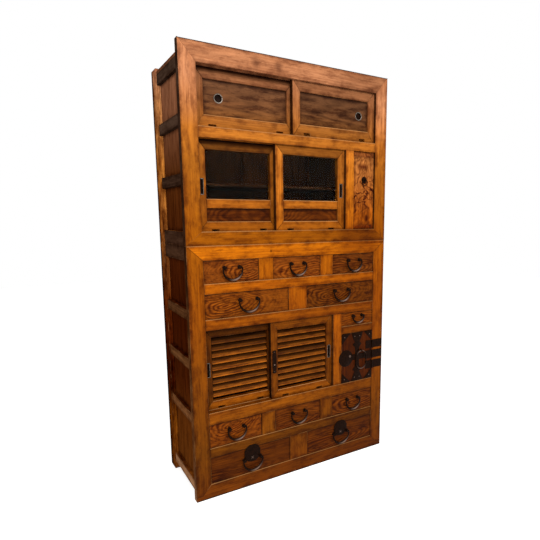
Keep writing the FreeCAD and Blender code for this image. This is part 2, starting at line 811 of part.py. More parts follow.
# Plank door: a board between two cleats whose faces slope back, on pivots, with a ring on a round plate
plank_x = (plank_bay[0] + s.plank_gap, pivot_x)
z_plank = (z_upper_base + s.plank_gap, z_glass - s.plank_gap)
plank_levels = {
    "base_cleat": (z_plank[0], z_plank[0] + s.plank_base_cleat),
    "plank": (z_plank[0] + s.plank_base_cleat, z_plank[1] - s.plank_top_cleat),
    "top_cleat": (z_plank[1] - s.plank_top_cleat, z_plank[1]),
}
plank_sections = {"full": (-plank_y[1], -plank_y[0]), "sloped": (-plank_y[1], -plank_y[0] - s.plank_chamfer)}
plank_ends = {"base_cleat": ("sloped", "full"), "plank": ("full", "full"), "top_cleat": ("full", "sloped")}
keep("plank_door", [
    fused("plank_door_" + name, [
        wedge(name + "_body", (plank_x, plank_sections[plank_ends[name][0]]),
              (plank_x, plank_sections[plank_ends[name][1]]), z, FreeCAD.Rotation(X_AXIS, QUARTER_TURN)),
        rod(name + "_heel", s.plank_thick / 2, "z", z, (pivot_x, pivot_y))])
    for name, z in plank_levels.items()
])


def staple(name, x_middle, z_middle, y_face, offset, wire_radius, foot=None):
    """An eye that stands out from a face and carries a ring or a bail pin."""
    eye = wire_radius + s.staple_slack
    outer = eye + s.staple_wall
    x = around(x_middle, s.staple_width)
    body = board(name + "_body", x, (y_face - offset, y_face), (z_middle - outer, z_middle + outer))
    nose = rod(name + "_nose", outer, "x", x, (y_face - offset, z_middle))
    hole = rod(name + "_hole", eye, "x", x, (y_face - offset, z_middle))
    return cut(name, fused(name + "_whole", [body, nose] + (foot or [])), [hole])


plank_ring_z = middle(z_plank) + s.plank_ring_lift + s.plank_ring_radius
plank_ring_x = middle((plank_bay[0], plank_bay[1]))
plank_ring_plate = rod("plank_ring_plate", s.plank_ring_plate_radius, "y",
                       (plank_y[0] - s.iron_thick, plank_y[0]), (plank_ring_x, plank_ring_z))
keep("plank_door_fittings", [
    staple("plank_staple", plank_ring_x, plank_ring_z, plank_y[0], s.plank_ring_offset,
           s.plank_ring_wire_radius, [plank_ring_plate]),
    rod("plank_lower_pivot", s.pivot_radius, "z",
        (z_upper_base - s.pivot_length + s.pivot_end_gap, z_plank[0]), (pivot_x, pivot_y)),
    rod("plank_upper_pivot", s.pivot_radius, "z",
        (z_plank[1], z_glass + s.pivot_length - s.pivot_end_gap), (pivot_x, pivot_y)),
])


def torus(name, radius, wire_radius, x, y, z):
    """A ring that stands in the plane of the front."""
    ring = doc.addObject("Part::Torus", name)
    bind(ring, "Radius1", radius)
    bind(ring, "Radius2", wire_radius)
    ring.Placement.Rotation = FreeCAD.Rotation(X_AXIS, QUARTER_TURN)
    put(ring, x, y, z)
    return ring


keep("plank_door_ring", [
    torus("plank_ring", s.plank_ring_radius, s.plank_ring_wire_radius, plank_ring_x,
          plank_y[0] - s.plank_ring_offset, plank_ring_z - s.plank_ring_radius),
])

# Iron-bound door: a board with iron plates and straps, on three hinges at its right
iron_y = (y_front - s.iron_door_proud, y_front - s.iron_door_proud + s.iron_door_thick)
iron_x = (iron_bay[0] + s.iron_door_gap, iron_bay[1] - s.iron_door_gap)
iron_z = (z_rail_4 + s.iron_door_gap, z_iron_top - s.iron_door_gap)
plate_y = (iron_y[0] - s.iron_thick, iron_y[0])
keep("iron_door", [board("iron_door_board", iron_x, iron_y, iron_z)])


def corner_plates():
    """Four corner plates, cut off slantwise."""
    leg, tip = s.corner_plate_leg, s.corner_plate_tip
    left, right = (iron_x[0], iron_x[0] + leg), (iron_x[1] - leg, iron_x[1])
    low = ((iron_z[0], iron_z[0] + leg), (iron_z[0], iron_z[0] + tip))
    high = ((iron_z[1] - leg, iron_z[1]), (iron_z[1] - tip, iron_z[1]))
    return [
        upright("corner_low_left", left, plate_y, low[0], low[1]),
        upright("corner_low_right", right, plate_y, low[1], low[0]),
        upright("corner_high_left", left, plate_y, high[0], high[1]),
        upright("corner_high_right", right, plate_y, high[1], high[0]),
    ]


strap_x = around(middle(iron_x), s.strap_width)
flare_x = around(middle(iron_x), s.strap_flare_width)
low_flare = (iron_z[0], iron_z[0] + s.strap_flare_height)
high_flare = (iron_z[1] - s.strap_flare_height, iron_z[1])
lock_x = iron_bay[0] + s.lock_plate_from_left
door_strap_x = (iron_bay[1] - s.hinge_strap_on_door, iron_bay[1] - s.knuckle_radius - s.knuckle_slack)
case_strap_x = (iron_bay[1] + s.knuckle_radius + s.knuckle_slack, x_right - s.hinge_strap_edge)
binding = fused("iron_binding", [
    lying("strap_low_flare", low_flare, plate_y, flare_x, strap_x),
    board("strap_middle", strap_x, plate_y, (low_flare[1], high_flare[0])),
    lying("strap_high_flare", high_flare, plate_y, strap_x, flare_x),
    board("strap_band", (lock_x, door_strap_x[0]), plate_y, around(iron_middle, s.band_height)),
    rod("lock_plate", s.lock_plate_radius, "y", plate_y, (lock_x, iron_middle)),
])
lock_knob = rod("lock_knob", s.lock_knob_radius, "y", (plate_y[0] - s.lock_knob_depth, plate_y[0]),
                (lock_x + s.lock_knob_right, iron_middle + s.lock_knob_lift))

axis_x = iron_bay[1]
axis_y = iron_y[0] - s.knuckle_radius
door_hinges, case_hinges = [], []
for number in (-1, 0, 1):
    strap_z = around(iron_middle + s.hinge_strap_pitch * number, s.hinge_strap_height)
    third = s.hinge_strap_height / s.knuckle_count
    inner_z = (strap_z[0] + third, strap_z[1] - third)
    outer_z = ((strap_z[0], inner_z[0] - s.knuckle_slack), (inner_z[1] + s.knuckle_slack, strap_z[1]))
    tag = f"hinge_{number + 2}"
    leaf = [board(tag + "_door_leaf", door_strap_x, plate_y, strap_z)]
    for end, z in enumerate(outer_z, start=1):
        leaf.append(board(f"{tag}_door_lug_{end}", (door_strap_x[1], axis_x), plate_y, z))
        leaf.append(rod(f"{tag}_door_knuckle_{end}", s.knuckle_radius, "z", z, (axis_x, axis_y)))
    bore = rod(tag + "_bore", s.hinge_pin_radius + s.pin_slack, "z", strap_z, (axis_x, axis_y))
    door_hinges.append(cut(tag + "_door", fused(tag + "_door_whole", leaf), [bore]))
    case_y = (y_front - s.iron_thick, y_front)
    case_hinges.append(fused(tag + "_case", [
        board(tag + "_case_leaf", case_strap_x, case_y, strap_z),
        board(tag + "_case_lug", (axis_x, case_strap_x[0]), case_y, inner_z),
        rod(tag + "_case_knuckle", s.knuckle_radius, "z", inner_z, (axis_x, axis_y)),
        rod(tag + "_pin", s.hinge_pin_radius, "z", strap_z, (axis_x, axis_y)),
    ]))

iron_ring_x = middle(iron_x) + s.iron_ring_right
iron_ring_z = iron_middle + s.iron_ring_lift
keep("iron_door_binding", [binding, lock_knob] + corner_plates() + door_hinges + [
    staple("iron_staple", iron_ring_x, iron_ring_z, iron_y[0], s.iron_ring_offset, s.iron_ring_wire_radius),
])
keep("iron_door_case_hinges", case_hinges)


def long_ring(name, x, y, z_high):
    """A long ring of round bar: two half rings and two straight sides, hung at its top."""
    radius, wire = s.iron_ring_radius, s.iron_ring_wire_radius
    z_upper = z_high - radius
    z_lower_end = z_upper - s.iron_ring_straight
    pieces = []
    for end, z, start in (("upper", z_upper, 0), ("lower", z_lower_end, HALF_TURN)):
        half = torus(f"{name}_{end}", radius, wire, x, y, z)
        half.Angle3 = HALF_TURN
        if start:
            half.Placement.Rotation = FreeCAD.Rotation(Y_AXIS, HALF_TURN) * half.Placement.Rotation
        pieces.append(half)
    for side, offset in (("left", -radius), ("right", radius)):
        pieces.append(rod(f"{name}_{side}", wire, "z", (z_lower_end, z_upper), (x + offset, y)))
    return fused(name, pieces)


keep("iron_door_ring", [
    long_ring("iron_ring", iron_ring_x, iron_y[0] - s.iron_ring_offset, iron_ring_z),
])


# Drawers with their swinging handles
def drawer_box(name, x, z):
    """A front, two sides, a back and a bottom."""
    wide = (x[0] + s.drawer_side_gap, x[1] - s.drawer_side_gap)
    front_z = (z[0] + s.drawer_lift, z[1] - s.drawer_top_gap)
    front_y = (y_front + s.drawer_recess, y_front + s.drawer_recess + s.drawer_front_thick)
    box_y = (front_y[1], y_back_in - s.drawer_back_gap)
    side_z = (front_z[0], front_z[1] - s.drawer_side_drop)
    between = (wide[0] + s.drawer_side_thick, wide[1] - s.drawer_side_thick)
    base_z = (front_z[0] + s.drawer_base_lift, front_z[0] + s.drawer_base_lift + s.drawer_base_thick)
    return [
        board(name + "_front", wide, front_y, front_z),
        board(name + "_left_side", (wide[0], between[0]), box_y, side_z),
        board(name + "_right_side", (between[1], wide[1]), box_y, side_z),
        board(name + "_back", between, (box_y[1] - s.drawer_side_thick, box_y[1]), (base_z[1], side_z[1])),
        board(name + "_bottom", between, box_y, base_z),
    ]


def handle(name, x_middle, z_axis, radius, drop):
    """Two bosses with eyes, and the crescent bail whose pins turn in them."""
    face_y = y_front + s.drawer_recess
    axis_y = y_front - s.bail_offset
    outer_z = z_axis - drop + radius
    inner_radius = radius - (s.bail_low_width + s.bail_arm_width) / 2
    inner_z = z_axis - drop + s.bail_low_width + inner_radius
    z_cut = z_axis + s.bail_arm_rise
    above, below = z_cut - inner_z, z_axis - s.eye_radius - inner_z
    inner_half = root(inner_radius * inner_radius - larger(above * above, below * below))
    eye_middle = inner_half - s.eye_gap - s.eye_width / 2
    pin_ends = (eye_middle - s.eye_width / 2 - s.bail_pin_end, inner_half + s.bail_pin_reach)
    boss_pieces, pins = [], []
    for side, sign in (("left", -1), ("right", 1)):
        eye_x = around(x_middle + eye_middle * sign, s.eye_width)
        pin_x = around(x_middle + middle(pin_ends) * sign, pin_ends[1] - pin_ends[0])
        tag = f"{name}_{side}"
        boss_y = (face_y - s.boss_thick, face_y)
        body = fused(tag + "_boss_whole", [
            rod(tag + "_boss", s.boss_radius, "y", boss_y, (middle(eye_x), z_axis)),
            board(tag + "_arm", eye_x, (axis_y, face_y), around(z_axis, s.eye_arm_height)),
            rod(tag + "_eye", s.eye_radius, "x", eye_x, (axis_y, z_axis)),
        ])
        hole = rod(tag + "_hole", s.bail_pin_radius + s.bail_pin_slack, "x", eye_x, (axis_y, z_axis))
        boss_pieces.append(cut(tag + "_eyed_boss", body, [hole]))
        pins.append(rod(tag + "_pin", s.bail_pin_radius, "x", pin_x, (axis_y, z_axis)))
    bail_y = around(axis_y, s.bail_thick)
    disc = rod(name + "_disc", radius, "y", bail_y, (x_middle, outer_z))
    hollow = rod(name + "_hollow", inner_radius, "y", bail_y, (x_middle, inner_z))
    mouth_cut = board(name + "_mouth", (x_middle - radius, x_middle + radius), bail_y,
                      (z_cut, outer_z + radius))
    crescent = cut(name + "_crescent", disc, [hollow, mouth_cut])
    return boss_pieces, [fused(name + "_bail_bar", [crescent] + pins)]


def lock_plate(name, x_middle, z_middle):
    """A round plate above a handle: it overlaps the rail, so it stands off on a pad."""
    centre = (x_middle, z_middle)
    proud_y = y_front - s.plate_proud
    return fused(name, [
        rod(name + "_disc", s.plate_radius, "y", (proud_y - s.iron_thick, proud_y), centre),
        rod(name + "_pad", s.plate_pad_radius, "y", (proud_y, y_front + s.drawer_recess), centre),
    ])


handle_kinds = {
    "a": (s.medium_bail_radius, s.medium_bail_drop, s.medium_boss_drop),
    "b": (s.large_bail_radius, s.large_bail_drop, s.large_boss_drop),
    "c": (s.medium_bail_radius, s.medium_bail_drop, s.large_boss_drop),
    "d": (s.large_bail_radius, s.large_bail_drop, s.low_boss_drop),
    "small": (s.small_bail_radius, s.small_bail_drop, s.small_boss_drop),
}
drawers = [(f"drawer_{row}{number}", row, x, z)
           for row, (bays, posts, z) in drawer_rows.items()
           for number, x in enumerate(bays, start=1)]
drawers.append(("drawer_small", "small", iron_bay, (z_small_floor, z_louvre)))
for name, row, x, z in drawers:
    radius, drop, boss_drop = handle_kinds[row]
    z_axis = z[1] - boss_drop
    bosses, bail = handle(name, middle(x), z_axis, radius, drop)
    if row == "d":
        bosses.append(lock_plate(name + "_plate", middle(x), z_axis + s.plate_lift))
    keep(name, drawer_box(name, x, z))
    keep(name + "_bosses", bosses)
    keep(name + "_bail", bail)

# Check every object, then write one file for each sub-part
doc.recompute()
for obj in doc.Objects:
    if "Invalid" in obj.State or "Error" in obj.State:
        raise SystemExit(f"{obj.Label}: {obj.State}")
for part in nodes:
    if part.Shape.isNull() or not part.Shape.isValid() or not part.Shape.Solids:
        raise SystemExit(f"{part.Label}: no valid solid")
os.makedirs("parts", exist_ok=True)
for part in nodes:
    part.Shape.exportStep(f"parts/{part.Label}.step")
print(len(nodes), "sub-parts,", sum(len(part.Shape.Solids) for part in nodes), "solids")
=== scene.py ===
import itertools
import json
import math
import random

import bpy
from mathutils import Matrix, Vector

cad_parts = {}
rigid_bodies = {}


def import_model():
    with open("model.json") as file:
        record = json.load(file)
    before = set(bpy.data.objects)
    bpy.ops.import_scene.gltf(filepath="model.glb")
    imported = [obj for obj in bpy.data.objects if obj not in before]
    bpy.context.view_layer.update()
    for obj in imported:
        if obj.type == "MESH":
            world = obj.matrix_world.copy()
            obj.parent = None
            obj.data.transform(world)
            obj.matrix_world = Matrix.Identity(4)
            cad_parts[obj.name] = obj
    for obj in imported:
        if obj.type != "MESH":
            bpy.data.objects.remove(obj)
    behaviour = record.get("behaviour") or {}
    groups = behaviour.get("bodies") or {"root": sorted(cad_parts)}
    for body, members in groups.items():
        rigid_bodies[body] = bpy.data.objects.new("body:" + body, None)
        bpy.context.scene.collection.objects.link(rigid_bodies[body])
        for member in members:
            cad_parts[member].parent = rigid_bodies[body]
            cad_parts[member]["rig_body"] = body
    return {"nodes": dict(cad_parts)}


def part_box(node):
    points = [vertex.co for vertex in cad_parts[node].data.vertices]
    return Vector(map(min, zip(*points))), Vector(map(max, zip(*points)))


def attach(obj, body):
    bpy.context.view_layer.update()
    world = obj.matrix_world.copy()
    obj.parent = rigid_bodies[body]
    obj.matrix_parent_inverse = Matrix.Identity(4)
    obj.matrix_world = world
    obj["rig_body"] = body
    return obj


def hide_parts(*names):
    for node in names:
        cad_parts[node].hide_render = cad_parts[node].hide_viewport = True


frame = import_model()
bpy.ops.object.select_all(action="DESELECT")
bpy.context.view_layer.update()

# ---------------------------------------------------------------- The room
# The cabinet stands on a plain pale floor in soft studio light: one wide lamp at its
# front right, a weaker one at its left, and an even white room. The camera is the
# photograph's: 1.14 m above the floor, to the left of the front, looking a little down.


def placed(name, data):
    """A new object of the scene with this data."""
    made = bpy.data.objects.new(name, data)
    bpy.context.scene.collection.objects.link(made)
    return made


camera = placed("camera", bpy.data.cameras.new("camera"))
bpy.context.scene.camera = camera
camera.location = (-0.9825, -1.91025, 1.142)
camera.rotation_euler = (math.radians(80.96), 0, math.radians(-32.19))
camera.data.lens = 31.29
camera.data.shift_x = -0.090
camera.data.shift_y = 0.039
camera.data.clip_start = 0.05
bpy.context.scene.view_settings.view_transform = "Standard"


def linear(colour):
    """An sRGB hex colour as the linear numbers that a shader takes."""
    parts = [int(colour[i:i + 2], 16) / 255 for i in (1, 3, 5)]
    return [p / 12.92 if p <= 0.04045 else ((p + 0.055) / 1.055) ** 2.4 for p in parts] + [1]


def add(tree, kind, sockets=(), stops=(), **settings):
    """Adds a node: its settings, its sockets' values or sources, and a ramp's stops. A source is an
    output of another node, or that node for its first output."""
    made = tree.nodes.new("ShaderNode" + kind)
    for name, value in settings.items():
        setattr(made, name, value)
    for socket, value in dict(sockets).items():
        if isinstance(value, bpy.types.Node):
            value = value.outputs[0]
        if isinstance(value, bpy.types.NodeSocket):
            tree.links.new(value, made.inputs[socket])
        else:
            made.inputs[socket].default_value = value
    for number, (place, colour) in enumerate(stops):
        ramp = made.color_ramp.elements
        stop = ramp[number] if number < 2 else ramp.new(place)
        stop.position = place
        stop.color = linear(colour) if isinstance(colour, str) else (colour, colour, colour, 1)
    return made


def blank(name):
    """A new material and its empty node tree."""
    material = bpy.data.materials.new(name)
    material.use_nodes = True
    material.node_tree.nodes.clear()
    return material, material.node_tree


def looking_rays(tree):
    """1 on rays that look, from the camera, off a shine or through glass, and 0 on rays that light."""
    rays = add(tree, "LightPath").outputs
    seen = add(tree, "Math", {0: rays["Is Camera Ray"], 1: rays["Is Glossy Ray"]}, operation="MAXIMUM")
    seen = add(tree, "Math", {0: seen, 1: rays["Is Transmission Ray"]}, operation="MAXIMUM")
    return seen.outputs[0]


world = bpy.data.worlds.new("white_room")
bpy.context.scene.world = world
world.use_nodes = True
tree = world.node_tree
tree.nodes.clear()
level = add(tree, "MapRange", {"Value": looking_rays(tree), "To Min": 0.45, "To Max": 1.0})
room = add(tree, "Background", {"Color": (1, 1, 1, 1), "Strength": level})
add(tree, "OutputWorld", {"Surface": room})

lamp_aim = Vector((0, 0, 0.95))
for name, place, size, power in (("front_lamp", (0.5, -3.9, 3.5), 2.0, 120),
                                 ("left_lamp", (-2.5, -3.0, 2.3), 1.6, 75)):
    lamp = placed(name, bpy.data.lights.new(name, "AREA"))
    lamp.location = place
    lamp.rotation_euler = (lamp_aim - Vector(place)).to_track_quat("-Z", "Y").to_euler()
    lamp.data.size = size
    lamp.data.energy = power

bpy.ops.mesh.primitive_plane_add(size=14, location=(0, 0, 0))
floor = bpy.context.object
floor.name = "floor"
floor.select_set(False)
paint, tree = blank("painted_floor")
speckle = add(tree, "TexNoise", {"Vector": add(tree, "TexCoord").outputs["Object"], "Scale": 60.0})
shade = add(tree, "ValToRGB", {"Fac": speckle}, stops=((0.3, "#f4f3f1"), (0.7, "#f9f8f6")))
surface = add(tree, "BsdfPrincipled", {"Base Color": shade, "Roughness": 0.85,
                                      "Specular IOR Level": 0.1})
glow = add(tree, "Math", {0: looking_rays(tree), 1: 0.62}, operation="MULTIPLY")
glow = add(tree, "Emission", {"Strength": glow})
both = add(tree, "AddShader", {0: surface, 1: glow})
add(tree, "OutputMaterial", {"Surface": both})
floor.data.materials.append(paint)

# ---------------------------------------------------------------- Front frames of the two cases
# Planed cypress, wiped with red-brown lacquer: orange where the hand and the light reach, paler and
# pinker at the top, a painted sheen, and dark at the foot, partly painted shade. Stiles and rails meet
# in mitres, and the cross rails butt between the stiles. Posts and rails of the sides are stained darker.


def fitted(piece, *nodes):
    """The piece stands for these CAD nodes, which it hides, and moves with the first one's body."""
    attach(piece, frame["nodes"][nodes[0]]["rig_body"])
    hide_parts(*nodes)
    return piece


def solids(node_name):
    """The separate solids of a CAD node, each as its faces' rings of corners."""
    source = frame["nodes"][node_name].data
    found, rings, unmatched = [], [], set()
    for face in source.polygons:
        ring = [tuple(round(part, 6) for part in source.vertices[index].co) for index in face.vertices]
        rings.append(ring)
        for edge in zip(ring, ring[1:] + ring[:1]):
            if edge[::-1] in unmatched:
                unmatched.discard(edge[::-1])
            else:
                unmatched.add(edge)
        if not unmatched:
            found.append(rings)
            rings = []
    return found


def span(places):
    """The lowest and highest x, y and z of some places."""
    return [Vector([pick(place[axis] for place in places) for axis in range(3)]) for pick in (min, max)]


def solid_boxes(node_name):
    """The lowest and highest corner of each solid of a CAD node."""
    return [span([corner for ring in rings for corner in ring]) for rings in solids(node_name)]


def edited(piece, *steps):
    """Makes a piece the active one and runs mesh operators on the whole of it."""
    bpy.context.view_layer.objects.active = piece
    piece.select_set(True)
    bpy.ops.object.mode_set(mode="EDIT")
    for step in steps:
        bpy.ops.mesh.select_all(action="SELECT")
        step()
    bpy.ops.object.mode_set(mode="OBJECT")


def eased(piece, width, **settings):
    """Rounds the sharp edges of the active piece."""
    easing = piece.modifiers.new("eased_edges", "BEVEL")
    for name, value in dict(width=width, segments=2, limit_method="ANGLE", **settings).items():
        setattr(easing, name, value)
    bpy.ops.object.modifier_apply(modifier="eased_edges")


def boards(name, node_name, finishes, finish_of=None, only=None, ease=0.0012, run=None, tones=None,
           heart=None):
    """Copies the boards of a CAD node, eases their edges, and marks each board's own grain on it."""
    corners, faces, owner = [], [], []
    for number, rings in enumerate(solids(node_name)):
        if only is None or number in only:
            own = dict.fromkeys(corner for ring in rings for corner in ring)
            index = {corner: len(corners) + place for place, corner in enumerate(own)}
            corners += own
            owner += [number] * len(own)
            faces += [[index[corner] for corner in ring] for ring in rings]
    mesh = bpy.data.meshes.new(name)
    mesh.from_pydata(corners, [], faces)
    mesh.attributes.new("board", "INT", "POINT").data.foreach_set("value", owner)
    piece = placed(name, mesh)
    for material in [*finishes, None]:
        mesh.materials.append(material)
    edited(piece, lambda: bpy.ops.mesh.dissolve_limited(angle_limit=math.radians(0.5)))
    eased(piece, ease, angle_limit=math.radians(35), material=len(finishes))
    piece.select_set(False)
    owner = [item.value for item in mesh.attributes["board"].data]
    frames = {}
    for number in sorted(set(owner)):
        low, high = span([vertex.co for vertex, board in zip(mesh.vertices, owner) if board == number])
        widths = list(high - low)
        thin = 1 if widths[1] < 0.1 and widths[1] < max(widths) else widths.index(min(widths))
        along = widths.index(max(widths)) if run is None else run if run != thin else 0
        axes = (along, 3 - along - thin, thin)
        chance = random.Random(f"{name} {number}")
        shift = heart or (chance.uniform(-3, 3), chance.uniform(-0.05, 0.05), chance.uniform(0.03, 0.12), 1)
        tone = (tones or {}).get(number, chance.uniform(0.9, 1.1))
        frames[number] = (axes, [(low[axis] + high[axis]) / 2 for axis in axes],
                          [widths[axis] / 2 for axis in axes], shift, tone, high.z)
    marks = {"grain": [], "spot": [], "half": [], "tone": [], "below": []}
    for vertex, number in zip(mesh.vertices, owner):
        axes, middle, half, shift, tone, top = frames[number]
        spot = [vertex.co[axis] - middle[i] for i, axis in enumerate(axes)]
        marks["grain"] += [(spot[0] + shift[0]) * shift[3], spot[1] + shift[1], spot[2] + shift[2]]
        marks["spot"] += spot
        marks["half"] += half
        marks["tone"].append(tone)
        marks["below"].append(top - vertex.co.z if axes[0] == 0 else 1.0)
    for mark, values in marks.items():
        kind, field = ("FLOAT", "value") if mark in ("tone", "below") else ("FLOAT_VECTOR", "vector")
        mesh.attributes.new(mark, kind, "POINT").data.foreach_set(field, values)
    on_edge = [float(face.material_index == len(finishes)) for face in mesh.polygons]
    mesh.attributes.new("edge", "FLOAT", "FACE").data.foreach_set("value", on_edge)
    for face in mesh.polygons:
        face.material_index = (finish_of or {}).get(owner[face.vertices[0]], 0)
    mesh.materials.pop()
    return fitted(piece, node_name)


case_height = 1757
multiply = {"data_type": "RGBA", "blend_type": "MULTIPLY"}


def wood(name, by_height, line, lines=0.5, spacing=5.0, stretch=0.03, wander=0.02, streak=0.3,
         arched=False, reach=None, worn_and_highlight="#c98a4e", wear=0.2, edge_darkness=0.8, recess_shade=None, rough=0.48, shine=0.035,
         mottle=0.15, bump=0.12, lip=0.0, lip_depth=0.004):
    """Sawn and lacquered wood: colour by height, which on the front frames, doors and side rails also
    paints the fall of light, growth rings a given number of mm apart, straight or arched, streaks,
    pores, darkening near the edges of each board and in blotches, and painted shade along the eased
    edges in the joints. A painted highlight lights the upper edge of a level board (lip above 0), and a
    painted shadow of the member above darkens it (lip below 0). On slats, recess_shade paints the
    shade where each one runs back behind the next."""
    material, tree = blank(name)
    place = add(tree, "TexCoord").outputs["Object"]
    height = add(tree, "SeparateXYZ", {0: place}).outputs["Z"]
    share = add(tree, "Math", {0: height, 1: case_height / 1000}, operation="DIVIDE", use_clamp=True)
    base = add(tree, "ValToRGB", {"Fac": share}, stops=[(z / case_height, c) for z, c in by_height])
    grain = add(tree, "Attribute", attribute_name="grain").outputs["Vector"]

    laid = add(tree, "Mapping", {"Vector": grain, "Scale": (stretch, 1, 1)})
    slow = add(tree, "TexNoise", {"Vector": laid, "Scale": 14.0, "Detail": 2.0})
    sway = add(tree, "VectorMath", {0: slow.outputs["Color"], 1: (0.5, 0.5, 0.5)}, operation="SUBTRACT")
    sway = add(tree, "VectorMath", {0: sway, "Scale": wander}, operation="SCALE")
    bent = add(tree, "VectorMath", {0: laid, 1: sway}, operation="ADD")
    rings = add(tree, "TexWave", {"Vector": bent, "Scale": 314 / spacing, "Distortion": 1.2,
                                  "Detail": 3.0, "Detail Scale": 0.5, "Detail Roughness": 0.55},
                wave_type="RINGS", rings_direction="SPHERICAL" if arched else "X",
                wave_profile="SIN" if arched else "SAW")
    ring_shape = (((0.2, 0.0), (0.95, 1.0), (0.6, 0.35)) if arched
                  else ((0.0, 0.0), (1.0, 0.2), (0.5, 0.25), (0.85, 1.0)))
    rings = add(tree, "ValToRGB", {"Fac": rings.outputs["Fac"]}, stops=ring_shape)
    fade = add(tree, "TexNoise", {"Vector": laid, "Scale": 22.0, "Detail": 2.0})
    fade = add(tree, "MapRange", {"Value": fade, "From Min": 0.35, "From Max": 0.65,
                                  "To Min": 0.3 * lines, "To Max": lines})
    if reach:
        away = add(tree, "VectorMath", {0: bent}, operation="LENGTH")
        away = add(tree, "MapRange", {"Value": away.outputs["Value"], "From Min": reach * 0.4,
                                      "From Max": reach, "To Min": 1.0, "To Max": 0.2})
        fade = add(tree, "Math", {0: fade, 1: away}, operation="MULTIPLY")
    drawn = add(tree, "Math", {0: rings, 1: fade}, operation="MULTIPLY")
    pale = add(tree, "MapRange", {"Value": rings, "From Max": 0.4, "To Min": 0.6, "To Max": 0.0})
    lift = add(tree, "Math", {0: pale, 1: fade, 2: 1.0}, operation="MULTIPLY_ADD")
    for along, across, detail, low, amount in ((3, 60, 4.0, 0.4, streak), (6, 190, 3.0, 0.4, streak),
                                               (14, 520, 2.0, 0.42, streak * 0.7),
                                               (55, 1100, 1.0, 0.58, 0.25)):
        hairs = add(tree, "Mapping", {"Vector": grain, "Scale": (along, across, across)})
        hairs = add(tree, "TexNoise", {"Vector": hairs, "Scale": 1.0, "Detail": detail})
        hairs = add(tree, "MapRange", {"Value": hairs, "From Min": low, "From Max": low + 0.3,
                                       "To Max": amount})
        drawn = add(tree, "Math", {0: drawn, 1: hairs}, operation="ADD", use_clamp=True)

    figured = add(tree, "Mix", {0: drawn, 6: base, 7: linear(line)}, **multiply)
    cloud = add(tree, "Mapping", {"Vector": grain, "Scale": (12, 48, 48)})
    cloud = add(tree, "TexNoise", {"Vector": cloud, "Scale": 1.0, "Detail": 7.0, "Roughness": 0.72})
    dusk = add(tree, "MapRange", {"Value": cloud, "From Min": 0.5, "From Max": 0.38,
                                  "To Max": 2.4 * mottle})
    cloud = add(tree, "MapRange", {"Value": cloud, "From Min": 0.35, "From Max": 0.65,
                                   "To Min": 1 - mottle, "To Max": 1 + mottle})
    tone = add(tree, "Attribute", attribute_name="tone")
    level = add(tree, "Math", {0: cloud, 1: tone.outputs["Fac"]}, operation="MULTIPLY")
    level = add(tree, "Math", {0: level, 1: lift}, operation="MULTIPLY")
    toned = add(tree, "Mix", {0: dusk, 6: figured.outputs[2], 7: linear("#b08a70")}, **multiply)
    toned = add(tree, "VectorMath", {0: toned.outputs[2], "Scale": level}, operation="SCALE")

    spot = add(tree, "Attribute", attribute_name="spot")
    half = add(tree, "Attribute", attribute_name="half")
    # Slats: painted shade at the foot of each nose, a painted highlight on the nose, and painted shade
    # deepening up the slope behind it.
    if recess_shade:
        split = add(tree, "SeparateXYZ", {0: spot.outputs["Vector"]})
        nose_shade = add(tree, "MapRange", {"Value": split.outputs[1], "From Min": -0.0138, "From Max": -0.0095,
                                      "To Min": 0.45, "To Max": 1.0})
        slat_light_and_shade = add(tree, "MapRange", {"Value": split.outputs[1], "From Min": -0.007, "From Max": 0.003,
                                        "To Min": 1.25, "To Max": recess_shade})
        slat_light_and_shade = add(tree, "Math", {0: nose_shade, 1: slat_light_and_shade}, operation="MULTIPLY")
        toned = add(tree, "VectorMath", {0: toned, "Scale": slat_light_and_shade}, operation="SCALE")
    # Darker near each board's edges and in blotches.
    inward = add(tree, "VectorMath", {0: spot.outputs["Vector"]}, operation="ABSOLUTE")
    inward = add(tree, "VectorMath", {0: half.outputs["Vector"], 1: inward}, operation="SUBTRACT")
    inward = add(tree, "SeparateXYZ", {0: inward})
    inward = add(tree, "Math", {0: inward, 1: inward.outputs[1]}, operation="MINIMUM")
    near = add(tree, "MapRange", {"Value": inward, "From Max": 0.02, "To Min": 0.34, "To Max": 0.0})
    blot = add(tree, "TexNoise", {"Vector": place, "Scale": 20.0, "Detail": 3.0, "Roughness": 0.6})
    edge_darkening = add(tree, "Math", {0: near, 1: blot}, operation="ADD")
    edge_darkening = add(tree, "MapRange", {"Value": edge_darkening, "From Min": 0.58, "From Max": 0.95,
                                  "To Max": edge_darkness})
    edge_darkened = add(tree, "Mix", {0: edge_darkening, 6: toned, 7: linear("#8a6f60")}, **multiply)
    # Painted shade darkens the eased edges, in the joints between boards.
    edge = add(tree, "Attribute", attribute_name="edge")
    rub = add(tree, "TexNoise", {"Vector": place, "Scale": 18.0, "Detail": 4.0})
    joint_shade = add(tree, "MapRange", {"Value": rub, "From Min": 0.42, "From Max": 0.62, "To Min": 0.65,
                                   "To Max": 0.35})
    joint_shade = add(tree, "Math", {0: edge.outputs["Fac"], 1: joint_shade}, operation="MULTIPLY")
    edged = add(tree, "Mix", {0: joint_shade, 6: edge_darkened.outputs[2], 7: linear("#2e1406")},
                data_type="RGBA")
    rub = add(tree, "MapRange", {"Value": rub, "From Min": 0.5, "From Max": 0.65, "To Max": wear})
    rubbed = add(tree, "Math", {0: edge.outputs["Fac"], 1: rub}, operation="MULTIPLY")
    coloured = add(tree, "Mix", {0: rubbed, 6: edged.outputs[2], 7: linear(worn_and_highlight)}, data_type="RGBA")
